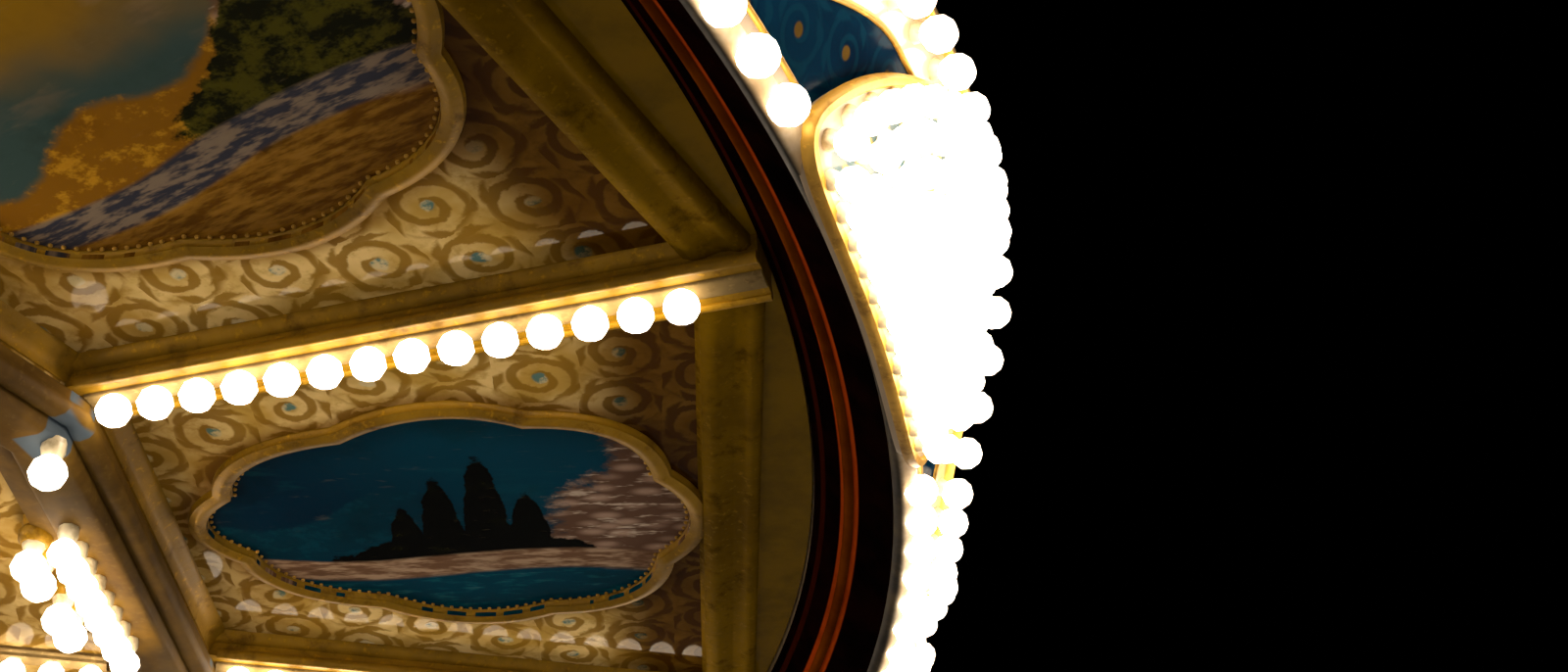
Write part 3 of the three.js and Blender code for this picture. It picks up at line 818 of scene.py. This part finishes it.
def lobed_path(count, margin=0.0):
    """The cartouche: centre + (half length * lobe * cos t, half width * lobe * (1 + swell cos t) * sin t),
    with a margin added to both half sizes."""
    t = turns(count)
    lobe = 1 - OVAL_LOBE_DEPTH * (1 - np.abs(np.cos(t * OVAL_LOBES / 2)))
    swell = 1 + OVAL_SWELL * np.cos(t)
    x = OVAL_CENTRE + (OVAL_HALF_LENGTH * lobe + margin) * np.cos(t)
    y = (OVAL_HALF_WIDTH * lobe * swell + margin) * np.sin(t)
    return np.stack([x, y, np.full(count, CEILING_HEIGHT)], -1)


def cartouche():
    """A stepped picture frame with a rounded crown, carried round the cartouche."""
    half = [
        (-0.027, 0.0), (-0.027, 0.006), (-0.0235, 0.009), (-0.0235, 0.022), (-0.014, 0.024), (-0.006, 0.03),
    ]
    return carried(both_sides(half), lobed_path(CARTOUCHE_STEPS), DOWN, closed=True)


def cartouche_studs():
    """Small turned domes at even steps along the picture frame's inner edge."""
    path = lobed_path(CARTOUCHE_STEPS, -0.034) - (0, 0, 0.001)
    inner_edge = np.vstack([path, path[:1]])
    dome = lathe(0.0065 * np.array([(0.0, -0.3), (0.9, -0.3), (0.75, 0.5), (0.0, 1.0)]), 7, DOWN)
    return dome.at_spots(spots_along(inner_edge, 0.028, int))


def across_panel(section, radius):
    """A section of (outward, up) from a chord's middle carried straight across a panel and mitred at
    the sweeps: half its width is x tan a - clearance / cos a at a distance x along the middle."""
    x, z = (np.array(section) + (radius * math.cos(HALF_SECTOR), CEILING_HEIGHT)).T
    reach = x * math.tan(HALF_SECTOR) - PANEL_CLEARANCE / math.cos(HALF_SECTOR)
    sides = np.stack([-reach, reach])
    return grid(np.stack([x + 0 * sides, sides, z + 0 * sides], -1))


def outer_chord():
    """Two gilt strips with a groove between them, across the outer end of a panel."""
    section = [
        (0.004, 0.0), (0.004, -0.03), (-0.006, -0.04), (-0.02, -0.044), (-0.034, -0.04),
        (-0.044, -0.035), (-0.06, -0.034), (-0.066, -0.0325), (-0.072, -0.034), (-0.086, -0.037),
        (-0.108, -0.045), (-0.126, -0.046), (-0.14, -0.039), (-0.152, -0.033), (-0.156, -0.01),
        (-0.166, 0.0),
    ]
    return across_panel(section, RIM_RADIUS)


def inner_riser():
    """A cove that hides the step at the inner end of a panel."""
    section = [
        (-0.05, 0.0), (-0.05, -0.062), (0.006, -0.062), (0.01, -0.045), (0.022, -0.024),
        (0.044, -0.01), (0.048, 0.0),
    ]
    return across_panel(section, RING_RADIUS)


def side_fillets():
    """A quarter-round where each panel meets the sweeps on its two sides."""
    offset = SWEEP_WIDTH / 2 + 0.001
    section = [(0.0, 0.0), (0.0, 0.03), (0.008, 0.028), (0.02, 0.02), (0.028, 0.008), (0.03, 0.0)]
    forms = []
    for side in (1, -1):
        path = [(x, side * offset, CEILING_HEIGHT) for x in (2.652, 3.4, 4.236)]
        made = carried([(side * across, out) for across, out in section], path, DOWN)
        made.points[:, 1] = side * (offset + np.abs(made.points[:, 1] - side * offset))
        forms.append(made)
    return joined(*forms)


def sweep_trim():
    """Along a sweep's underside: a bead at each edge and a raised strip for the lamps between them.
    Each bead is flipped, where it has to be, so that its wider side, over 0.012, is the outer one."""
    edge = [
        (-0.01, 0.0), (-0.01, 0.004), (-0.004, 0.009), (0.006, 0.01), (0.013, 0.004),
        (0.014, -0.01), (0.011, -0.02), (0.002, -0.024), (0.0, -0.024), (0.0, 0.0),
    ]
    strip = both_sides([(-0.031, 0.0), (-0.029, 0.006), (-0.024, 0.008)])
    run = (2.69, 3.5, 4.388)
    half = SWEEP_WIDTH / 2
    forms = []
    for side in (1, -1):
        made = carried(edge, [(x, side * half, SWEEP_BOTTOM) for x in run], DOWN)
        outward = side * (made.points[:, 1] - side * half)
        flip = 1.0 if outward.max() > 0.012 else -1.0
        made.points[:, 1] = side * (half + flip * outward)
        forms.append(made.outward())
    middle = carried(strip, [(x, 0.0, SWEEP_BOTTOM) for x in run], DOWN)
    middle.marks = [1] * len(middle.marks)
    return joined(*forms, middle)


def ring_band():
    """The deep twelve-sided moulding round the inner ceiling, with its corners in the sweeps' directions."""
    inner = -BAND_WIDTH
    section = [
        (0.007, SWEEP_BOTTOM - 0.001 - BAND_BOTTOM), (0.007, 0.03), (0.016, 0.02), (0.016, 0.004),
        (0.004, -0.01), (-0.022, -0.016), (-0.044, -0.008), (-0.06, -0.003), (-0.15, -0.003),
        (-0.162, -0.012), (-0.19, -0.02), (-0.222, -0.018), (inner - 0.006, -0.006),
        (inner - 0.012, 0.012), (inner - 0.02, 0.026), (inner - 0.036, INNER_BOTTOM - 0.0005 - BAND_BOTTOM),
    ]
    return ring_of(np.array(section) + (RING_RADIUS, BAND_BOTTOM), SECTORS)


def ring_lamp_rail():
    """A boxed rail with rounded edges under the band, twelve-sided as it is, that carries its lamps lower."""
    foot = RING_LAMP_HEIGHT + 0.076
    half = [(0.073, BAND_BOTTOM), (0.073, foot + 0.016), (0.067, foot + 0.006), (0.055, foot)]
    return ring_of(np.array(both_sides(half)) + (RAIL_RADIUS, 0.0), SECTORS)


def inner_battens():
    """A stepped batten under the inner ceiling that carries a row of its lamps."""
    half = [(-0.045, 0.0), (-0.045, 0.008), (-0.038, 0.012), (-0.03, 0.012), (-0.026, 0.02)]
    path = [(x, 0.0, INNER_BOTTOM) for x in (0.665, 1.5, RING_RADIUS - BAND_WIDTH - 0.04)]
    return carried(both_sides(half), path, DOWN)


gilded("cartouches", cartouche().around(PANEL_ANGLES), gilt)
gilded("cartouche_studs", cartouche_studs().around(PANEL_ANGLES), bright_gilt, smooth=35)
gilded("chord_mouldings", outer_chord().around(PANEL_ANGLES), dull_gilt)
gilded("inner_risers", inner_riser().around(PANEL_ANGLES), gilt)
gilded("side_fillets", side_fillets().around(SECTOR_ANGLES), gilt)
gilded("sweep_trims", sweep_trim().around(SECTOR_ANGLES), gilt, cream_gilt)
gilded("ring_band", ring_band(), ring_brown)
gilded("ring_lamp_rail", ring_lamp_rail(), ring_brown)
gilded("inner_battens", inner_battens().around(SECTOR_ANGLES), cream_gilt)


# Rounding boards


def off_face(slope, distance):
    """Radius and height at a slope height up the leaning face and a distance out along its normal."""
    lean, rise = FACE_LEAN
    return NOSE[0] + lean * slope + rise * distance, NOSE[1] + rise * slope - lean * distance


def crest(angle):
    """Slope height of the crest: high near the sweep, eased down to low between, with a slight peak."""
    degrees = np.degrees(np.abs(angle))
    t = np.clip((degrees - CREST_HIGH_ANGLE) / (CREST_LOW_ANGLE - CREST_HIGH_ANGLE), 0, 1)
    share = t * t * (3 - 2 * t)
    peak = 0.06 * np.cos(np.minimum(1, degrees / CREST_HIGH_ANGLE) * math.pi / 2)
    return CREST_AT_SWEEP * (0.94 + peak) * (1 - share) + CREST_BETWEEN * share


def board():
    """One rounding board: at each angle a closed section of soffit, nose, face up to the crest and back.
    The face is a cream band, a blue field and a second cream band under the crest. zones are the columns
    where the soffit, the nose and lower band, the field, the upper band and the back begin, and the last."""
    angles = np.linspace(-HALF_SECTOR + 4e-5, HALF_SECTOR - 4e-5, BOARD_STEPS + 1)[:, None]
    top = crest(angles)
    low = LOWER_BAND * np.array([[0.0, 0.5]]) + 0 * angles
    field = LOWER_BAND + (top - UPPER_BAND - LOWER_BAND) * np.linspace(0, 1, 9)
    high = top - UPPER_BAND * np.array([[0.5, 0.0]])
    slope = np.hstack([low, field, high])
    back = BACK_FOOT + (top - BACK_FOOT) * np.linspace(0, 1, 13)[::-1]
    soffit = np.linspace(SOFFIT_INNER, SOFFIT_OUTER, 6).T
    lip = (SOFFIT_INNER[0], SOFFIT_INNER[1] + SOFFIT_LIP)
    section = (soffit, off_face(slope, 0.0), off_face(back, -BOARD_THICKNESS), lip)
    points = np.concatenate([at(angles, radius, height) for radius, height in section], 1)
    uv = np.zeros((*points.shape[:2], 2))
    face = slice(6, 19)
    uv[:, face, 0] = angles * UV_RADIUS
    uv[:, face, 1] = slope
    form = grid(points, uv=uv)
    quads = form.faces[0].reshape(BOARD_STEPS, -1, 4)
    zones = (0, 5, 8, 16, 18, quads.shape[1])
    form.faces[:1] = [quads[:, first:last].reshape(-1, 4) for first, last in zip(zones, zones[1:])]
    form.marks = [0, 2, 1, 2, 3, 0, 0]
    return form


def shield_edge(t):
    """The shield's outline as (across, slope): a flat foot with round corners, and sides that lean in
    to a rounded top, as two cubic curves and their mirror images."""
    control = np.array(
        [
            [(0, -0.1), (0.8, -0.1), (1.05, -0.08), (0.95, 0.2)],
            [(0.95, 0.2), (0.83, 0.54), (0.5, 0.98), (0, 1.0)],
        ]
    )
    t = np.asarray(t, float) % 1.0
    mirrored = t > 0.5
    s = np.where(mirrored, 1 - t, t) * 4
    part = np.minimum(s.astype(int), 1)
    s = (s - part)[..., None]
    a, b, c, d = (control[part, k] for k in range(4))
    spot = a * (1 - s) ** 3 + 3 * b * s * (1 - s) ** 2 + 3 * c * s * s * (1 - s) + d * s**3
    across = np.where(mirrored, -1, 1) * spot[..., 0] * SHIELD_HALF_WIDTH
    return np.stack([across, spot[..., 1] * SHIELD_HEIGHT], -1)


def face_angle(across, slope):
    """The angle round the axis of a distance across the leaning face at a slope height."""
    return across / (NOSE[0] + FACE_LEAN[0] * slope)


def on_face(across, slope, distance):
    """A point of the leaning cone: angle = across / radius there, then out along the normal."""
    return at(face_angle(across, slope), *off_face(slope, distance))


def shield():
    """The shield's skin: rings of its outline drawn in to its middle, each off the face by a distance of
    its own. The first ring is its back rim, and the skin is nearly level inside the third."""
    rings = np.array([1.0, 1.0, 0.985, 0.95, 0.9, 0.8, 0.6, 0.4, 0.2])[:, None, None]
    distances = np.array([-0.008, 0.02, 0.032, 0.037, 0.036, 0.036, 0.037, 0.038, 0.039])[:, None]
    spots = SHIELD_MIDDLE + (shield_edge(np.arange(SHIELD_STEPS) / SHIELD_STEPS) - SHIELD_MIDDLE) * rings
    points = on_face(spots[..., 0], spots[..., 1], distances)
    tips = np.stack([on_face(0.0, SHIELD_MIDDLE[1], distance) for distance in (-0.008, 0.039)])
    disc = at(turns(SHIELD_STEPS), 1.0, 0.0)[:, :2] * rings
    return capped(points, tips, np.vstack([disc.reshape(-1, 2), [(0.001, 0.0), (0.001, 0.0)]]))


def face_normal(angle):
    """The outward normal of the leaning face at an angle."""
    return at(angle, FACE_LEAN[1], -FACE_LEAN[0])


def along_board(section, slope, distance):
    """A section carried along one board at a slope height and a distance off its face."""
    return carried(section, at(BOARD_ANGLES, *off_face(slope, distance)), face_normal(BOARD_ANGLES))


def crest_moulding():
    """A gilt bead carried along the crest of one board, seen on its outer face and over its top."""
    section = [
        (-0.016, -0.018), (-0.02, 0.016), (-0.01, 0.026), (0.004, 0.036), (0.016, 0.038),
        (0.022, 0.028), (0.024, 0.01), (0.02, -0.018),
    ]
    return along_board(section, crest(BOARD_ANGLES) - 0.012, -0.014)


def nose_moulding():
    """A torus round the foot of the leaning face."""
    section = [
        (-0.04, 0.004), (-0.036, -0.012), (-0.016, -0.022), (0.006, -0.018), (0.018, -0.004),
        (0.024, 0.012), (0.02, 0.026), (0.01, 0.03), (-0.01, 0.012),
    ]
    return ring_of(np.array(section) + NOSE, 288)


def band_beads():
    """Two thin gilt beads along one board, where its blue field meets the cream bands."""
    slopes = (LOWER_BAND, crest(BOARD_ANGLES) - UPPER_BAND)
    return joined(*(along_board(bead(0.016, 0.011), slope, -0.002) for slope in slopes))


def shield_rim():
    """A gilt bead carried round a shield's edge."""
    edge = SHIELD_MIDDLE + (shield_edge(np.arange(96) / 96) - SHIELD_MIDDLE) * 0.985
    section = both_sides([(-0.016, -0.01), (-0.016, 0.006), (-0.008, 0.017)])
    return carried(section, on_face(*edge.T, 0.026), face_normal(face_angle(*edge.T)), closed=True)


def soffit_bead():
    """The orange-red lacquered rod round the middle of the soffit, half sunk in it."""
    height = np.interp(SOFFIT_LINE, *zip(SOFFIT_INNER, SOFFIT_OUTER))
    t = turns(10)
    return ring_of(np.stack([SOFFIT_LINE + 0.016 * np.cos(t), height + 0.016 * np.sin(t)], -1), 240)


one_board = board()
for number, angle in enumerate(SECTOR_ANGLES, 1):
    piece(
        f"board_shell_{number:02d}",
        one_board.around([angle]),
        soffits,
        boards,
        cream_bands,
        backings,
        slot="board_paint",
        smooth=30,
        replaces=[f"rounding_board_{number:02d}"],
    )
piece("shields", shield().around(SECTOR_ANGLES), shields, slot="board_paint", smooth=40)
gilded("shield_rims", shield_rim().around(SECTOR_ANGLES), bright_gilt)
gilded("crest_mouldings", crest_moulding().around(SECTOR_ANGLES), bright_gilt)
piece("nose_moulding", nose_moulding(), nose_cream_and_shade, slot="board_paint", smooth=50)
gilded("band_beads", band_beads().around(SECTOR_ANGLES), bright_gilt, smooth=60)
piece("soffit_bead", soffit_bead(), lacquer, slot="board_paint", smooth=60)


# Lamps

GLOBE = [(0.0, -0.95), (0.42, -0.9), (0.86, -0.42), (1.0, 0.1), (0.8, 0.62), (0.36, 0.94), (0.0, 1.0)]
HOLDER = [(0.0, -1.95), (0.62, -1.95), (0.66, -1.3), (0.5, -0.8), (0.0, -0.75)]


def around_axis(points, normals):
    """The same spots and normals in every sector."""
    both = (points, np.broadcast_to(normals, points.shape))
    return [np.concatenate([turned(rows, angle) for angle in SECTOR_ANGLES]) for rows in both]


def lamps(name, spots, normals, radius=LAMP_RADIUS):
    """Globes and holders at the spots of one sector and of all others: a unit lathe along Z put at each
    spot with its Z turned to the normal by side = any line across the normal and other = normal x side."""
    spots, normals = around_axis(np.asarray(spots, float), np.asarray(normals, float))
    normals = unit(normals)
    helper = np.where(np.abs(normals[:, 2:]) > 0.9, [[1.0, 0.0, 0.0]], [[0.0, 0.0, 1.0]])
    side = unit(np.cross(normals, helper))
    axes = np.stack([side, np.cross(normals, side), normals], 1)
    for kind, made, finish, smooth in (
        ("lamps", lathe(GLOBE, 12), glass, 80),
        ("holders", lathe(HOLDER, 8), ceramic, 50),
    ):
        placed = spots[:, None] + radius * made.points @ axes
        piece(f"{name}_{kind}", made.copies(placed), finish, smooth=smooth)


def along_crest(low):
    """Angles at even steps along the crest, and the slope heights a little under it there."""
    angles = np.linspace(-HALF_SECTOR, HALF_SECTOR, 400)
    path = at(angles, *off_face(crest(angles) - low, 0.034))
    angle = np.interp(*half_steps(path, CREST_LAMP_PITCH), angles)
    return angle, crest(angle) - low


def shield_field(pitch):
    """Across and slope of lamps in rows that follow the shield's outline, drawn in to its middle."""
    edge = shield_edge(np.r_[0:400, 0] / 400) - SHIELD_MIDDLE
    rows = [SHIELD_MIDDLE + spots_along(edge * share, pitch) for share in (0.9, 0.71, 0.52, 0.33, 0.14)]
    return np.vstack(rows).T


sweep_run = FIRST_LAMP + LAMP_PITCH * np.arange(LAMPS_ON_SWEEP)
lamps("sweep", [(x, 0.0, LAMP_HEIGHT) for x in sweep_run], DOWN)
inner_run = FIRST_INNER_LAMP + LAMP_PITCH * np.arange(INNER_LAMPS_ON_SWEEP)
inner_spots = [(x, 0.0, INNER_LAMP_HEIGHT) for x in inner_run]
lamps("inner_sweep", inner_spots, DOWN, 0.04)
along_ring = (np.arange(8) - 3.5) * RING_LAMP_PITCH
ring_spots = np.array([(RING_LAMP_LINE, y, RING_LAMP_HEIGHT) for y in along_ring])
lamps("ring", turned(ring_spots, HALF_SECTOR), DOWN, 0.041)
lamps("ring_corner", [(2.618, 0.0, RING_LAMP_HEIGHT)], DOWN, 0.046)
pair = np.array([(2.334, 0.191, CLUSTER_HEIGHT), (2.331, 0.094, CLUSTER_HEIGHT)])
cluster = np.vstack([pair * (1, -1, 1), pair])
lamps("cluster", turned(cluster, HALF_SECTOR), DOWN, 0.046)
BOSS = [
    (0.0, 0.064), (0.034, 0.064), (0.044, 0.076), (0.046, 0.098), (0.038, 0.11), (0.047, 0.142), (0.0, 0.142),
]
boss_spots, _ = around_axis(turned(cluster, HALF_SECTOR), DOWN)
gilded("cluster_bosses", lathe(BOSS, 16).at_spots(boss_spots), gilt, smooth=35)
nose_angles = (np.arange(NOSE_LAMPS) - NOSE_LAMPS // 2) / NOSE_LAMPS * SECTOR
nose_angles = nose_angles[np.abs(nose_angles) > NOSE_LAMP_LEAST_ANGLE]
lamps("nose", at(nose_angles, 4.662, 4.08), at(nose_angles, 0.6, -0.8), 0.044)
crest_angle, crest_slope = along_crest(CREST_LAMP_DROP)
crest_spots = at(crest_angle, *off_face(crest_slope, 0.056))
lamps("crest", crest_spots, face_normal(crest_angle), 0.043)
field = shield_field(SHIELD_LAMP_PITCH)
lamps("shield", on_face(*field, 0.092), face_normal(face_angle(*field)), 0.037)


# Roof, finial, mast and ground frame


def smooth_line(stops, count):
    """A cubic curve through stops, evenly stepped: its slope at a stop is half the step between the
    stops on either side."""
    stops = np.asarray(stops, float)
    t = np.linspace(0, len(stops) - 1, count)
    base = np.clip(t.astype(int), 0, len(stops) - 2)
    s = (t - base)[:, None]
    padded = np.vstack([2 * stops[0] - stops[1], stops, 2 * stops[-1] - stops[-2]])
    a, b, c, d = (padded[base + k] for k in range(4))
    return 0.5 * (2 * b + (c - a) * s + (2 * a - 5 * b + 4 * c - d) * s**2 + (3 * b - a - 3 * c + d) * s**3)


roof_line = smooth_line(ROOF_PROFILE, 40)
under_line = roof_line[::-1] - (0.004, 0.024)
hole = [(ROOF_HOLE_RADIUS, ROOF_TOP), (ROOF_HOLE_RADIUS, ROOF_TOP - 0.029)]
roof_skin = ring_of(np.vstack([roof_line, hole, under_line]), 144)
piece("roof_shell", roof_skin, roofing, slot="roof_paint", smooth=30, replaces=["roof"])


def roof_rib():
    """A half-round rib carried up one seam of the roof."""
    radius, height = roof_line.T
    path = at(0 * radius, radius, height)
    slope = np.gradient(path, axis=0)
    lift = unit(np.stack([slope[:, 2], 0 * radius, -slope[:, 0]], -1))
    return carried(bead(0.05, 0.034) - (0, 0.004), path, lift)


gilded("roof_ribs", roof_rib().around(SECTOR_ANGLES), gilt, smooth=60)
finial_profile = [
    (0.0, 0.0), (0.4, 0.0), (0.4, 0.035), (0.385, 0.05), (0.345, 0.056), (0.318, 0.066), (0.305, 0.085),
    (0.29, 0.12), (0.262, 0.165), (0.248, 0.21), (0.24, 0.23), (0.215, 0.246), (0.18, 0.262), (0.158, 0.285),
    (0.15, 0.3), (0.134, 0.318), (0.132, 0.335), (0.158, 0.352), (0.2, 0.376), (0.24, 0.415), (0.266, 0.46),
    (0.275, 0.5), (0.27, 0.55), (0.25, 0.605), (0.212, 0.65), (0.168, 0.68), (0.12, 0.704), (0.1, 0.72),
    (0.082, 0.735), (0.094, 0.75), (0.09, 0.775), (0.07, 0.8), (0.05, 0.9), (0.036, 1.0), (0.024, 1.1),
    (0.012, 1.155), (0.0, 1.1694),
]
finial = lathe(np.array(finial_profile) + (0, FINIAL_FOOT), 72)
lobes = np.arctan2(finial.points[:, 1], finial.points[:, 0])
height = finial.points[:, 2] - FINIAL_FOOT
fluting = 1 - 0.045 * (0.5 + 0.5 * np.cos(12 * lobes)) * np.clip(1 - ((height - 0.5) / 0.17) ** 2, 0, 1)
finial.points[:, :2] *= fluting[:, None]
gilded("finial_turning", finial, bright_gilt, smooth=60, replaces=["finial"])

mast_base = [
    (0.0, 0.0), (0.44, 0.0), (0.44, 0.036), (0.43, 0.042), (0.34, 0.05), (0.305, 0.06), (0.285, 0.1),
    (0.262, 0.18), (0.245, 0.25), (0.218, 0.33), (0.192, 0.4), (0.176, 0.44), (MAST_RADIUS, 0.47),
]
mast_bead = [(MAST_RADIUS, 0.0), (0.172, 0.01), (0.176, 0.035), (0.172, 0.06), (MAST_RADIUS, 0.07)]
mast_neck = [(MAST_RADIUS, 3.66), (0.172, 3.672), (0.176, 3.69), (0.164, 3.71), (MAST_RADIUS, 3.8)]
mast_collar = [
    (MAST_RADIUS, -0.19), (0.19, -0.155), (0.222, -0.12), (0.262, -0.098), (0.292, -0.078), (0.3, -0.07),
    (0.3, 0.0), (MAST_RADIUS, 0.0),
]
mast_end = [(MAST_RADIUS, MAST_TOP), (0.0, MAST_TOP)]
raised = (
    (mast_base, MAST_FOOT), (mast_bead, 1.3), (mast_bead, 2.7), (mast_neck, 0.0),
    (mast_collar, COLLAR_TOP), (mast_end, 0.0),
)
mast = lathe(np.vstack([np.array(section) + (0, up) for section, up in raised]), 96)
piece("mast_turning", mast, red_steel, body="stand", slot="steel_paint", smooth=35, replaces=["mast"])


def hex_bolts(spots, size):
    """Hexagon heads on round washers at each spot: two turned profiles of 6 and 14 sides."""
    head = size * np.array([(0, 0.25), (1, 0.25), (1, 0.9), (0.85, 1), (0, 1)])
    washer = size * np.array([(0, -0.1), (1.5, -0.1), (1.5, 0.18), (1.4, 0.26), (0, 0.26)])
    return joined(lathe(head, 6).at_spots(spots), lathe(washer, 14).at_spots(spots))


def bolt_circle(radius, height, count, phase=0.0):
    """Spots evenly round the axis."""
    return at(phase + turns(count), radius, height)


dark_steel = enamel("dark_steel", (0.05, 0.048, 0.045), (0.16, 0.09, 0.05))
quarter_turns = turns(4)
flange_bolts = hex_bolts(bolt_circle(0.385, MAST_FOOT + 0.0485, 16), 0.018)
frame_bolts = hex_bolts(bolt_circle(0.55, MAST_FOOT, 12, 0.13), 0.018)
pad_bolts = hex_bolts([(JACK_DISTANCE + x, y, 0.0405) for x in (-0.12, 0.12) for y in (-0.1, 0.1)], 0.014)
joint_bolts = hex_bolts([(x, y, 0.3303) for x in (1.2, 1.3, 1.4) for y in (-0.07, 0.07)], 0.014)
bolts = joined(flange_bolts, frame_bolts, pad_bolts.around(quarter_turns), joint_bolts.around(quarter_turns))
piece("frame_bolts", bolts, dark_steel, body="stand", slot="steel_paint", smooth=30)


def jack_nut():
    """A hexagonal nut and thread rings on a levelling jack."""
    rings = []
    for k in range(8):
        z = 0.046 + 0.0072 * k
        rings += [(0.0605, z), (0.0655, z + 0.0036)]
    thread = lathe([(0, 0.044), *rings, (0.0605, 0.106), (0, 0.106)], 24)
    nut = lathe([(0, 0.072), (0.092, 0.074), (0.098, 0.08), (0.098, 0.1), (0.092, 0.106), (0, 0.108)], 6)
    return joined(thread, nut).at_spots([(JACK_DISTANCE, 0, 0)])


jacks = jack_nut().around(quarter_turns)
piece("levelling_jacks", jacks, dark_steel, body="stand", slot="steel_paint", smooth=30)


# Hub from below: a turned boss with a lamp ring

boss = [
    (0.31, -0.001), (0.335, -0.022), (0.37, -0.026), (0.4, -0.014), (0.43, -0.006), (0.47, -0.012),
    (0.5, -0.004), (0.58, -0.004), (0.6, -0.02), (0.64, -0.02), (0.668, -0.004), (0.672, 0.03),
    (0.662, 0.03), (0.658, 0.002), (0.31, 0.002),
]
gilded("hub_boss", ring_of(np.array(boss) + (0, HUB_BOTTOM), 120), bright_gilt)
hub_spots = at((np.arange(3) - 1) * SECTOR / 3, 0.54, HUB_BOTTOM - 0.066)
lamps("hub", hub_spots, DOWN, 0.03)


# Camera, floor and lights

EYE = (5.1021, -3.2142, LAMP_HEIGHT - 2.6305)
YAW, PITCH, ROLL = (math.radians(a) for a in (101.871, 37.209, -2.859))
FOCAL_PIXELS = 1886.8
PICTURE_WIDTH = 1600
SENSOR_WIDTH = 36.0
forward = Vector((math.cos(PITCH) * math.cos(YAW), math.cos(PITCH) * math.sin(YAW), math.sin(PITCH)))
level = Vector((math.sin(YAW), -math.cos(YAW), 0.0))
above = level.cross(forward)
right = math.cos(ROLL) * level + math.sin(ROLL) * above
top = -math.sin(ROLL) * level + math.cos(ROLL) * above
camera_data = bpy.data.cameras.new("camera")
camera_data.sensor_width = SENSOR_WIDTH
camera_data.lens = SENSOR_WIDTH * FOCAL_PIXELS / PICTURE_WIDTH
camera_data.clip_end = 200
camera = shown("camera", camera_data)
columns = Matrix((right, top, -forward)).transposed()
camera.matrix_world = Matrix.Translation(EYE) @ columns.to_4x4()
bpy.context.scene.camera = camera


def floor_finish():
    """Pale concrete with faint clouds."""
    finish = Finish("floor_paint", Roughness=0.8)
    cloud = finish.cloud(0.6, 5.0, 0.6)
    finish.give("Base Color", mix(cloud, (0.4, 0.395, 0.385), (0.47, 0.465, 0.455)))
    return finish.material


ground = lathe([(0.0, -0.05), (120.0, -0.05), (120.0, -0.001), (0.0, -0.001)], 96)
floor = meshed("floor", ground, [floor_finish()])


def soft_light(name, place, target, size, power, colour):
    """A square area light turned to a target."""
    data = bpy.data.lights.new(name, "AREA")
    data.size = size
    data.energy = power
    data.color = colour
    lamp = shown(name, data)
    aim = (Vector(target) - Vector(place)).to_track_quat("-Z", "Y")
    lamp.matrix_world = Matrix.Translation(place) @ aim.to_matrix().to_4x4()
    lamp.visible_camera = False


def broad_light(name, place, strength, degrees, colour):
    """A sun lamp shining from a place to the origin, softened over an angle."""
    data = bpy.data.lights.new(name, "SUN")
    data.energy = strength
    data.angle = math.radians(degrees)
    data.color = colour
    lamp = shown(name, data)
    lamp.matrix_world = (-Vector(place)).to_track_quat("-Z", "Y").to_matrix().to_4x4()


broad_light("key", (2.0, -7.0, 6.0), 1.9, 35, (1.0, 0.97, 0.93))
soft_light("fill", (11.0, 5.0, 7.0), (0, 0, 4.5), 8.0, 160, (1.0, 0.96, 0.92))
soft_light("back", (-9.0, 9.0, 8.0), (0, 0, 4.5), 8.0, 260, (0.96, 0.98, 1.0))


def studio_world():
    """A pale band along the horizon that fades to black by 21 degrees up."""
    world = bpy.data.worlds.new("studio")
    world.use_nodes = True
    tree = world.node_tree
    place = tree.nodes.new("ShaderNodeTexCoord")
    parts = tree.nodes.new("ShaderNodeSeparateXYZ")
    fade = tree.nodes.new("ShaderNodeMapRange")
    fade.interpolation_type = "SMOOTHSTEP"
    for socket, value in (("From Min", 0.06), ("From Max", 0.36), ("To Min", 1.0), ("To Max", 0.0)):
        fade.inputs[socket].default_value = value
    tree.links.new(place.outputs["Generated"], parts.inputs[0])
    tree.links.new(parts.outputs["Z"], fade.inputs["Value"])
    background = tree.nodes["Background"]
    background.inputs["Color"].default_value = (0.185, 0.187, 0.19, 1.0)
    tree.links.new(fade.outputs[0], background.inputs["Strength"])
    bpy.context.scene.world = world


studio_world()
bpy.context.scene.view_settings.view_transform = "Standard"
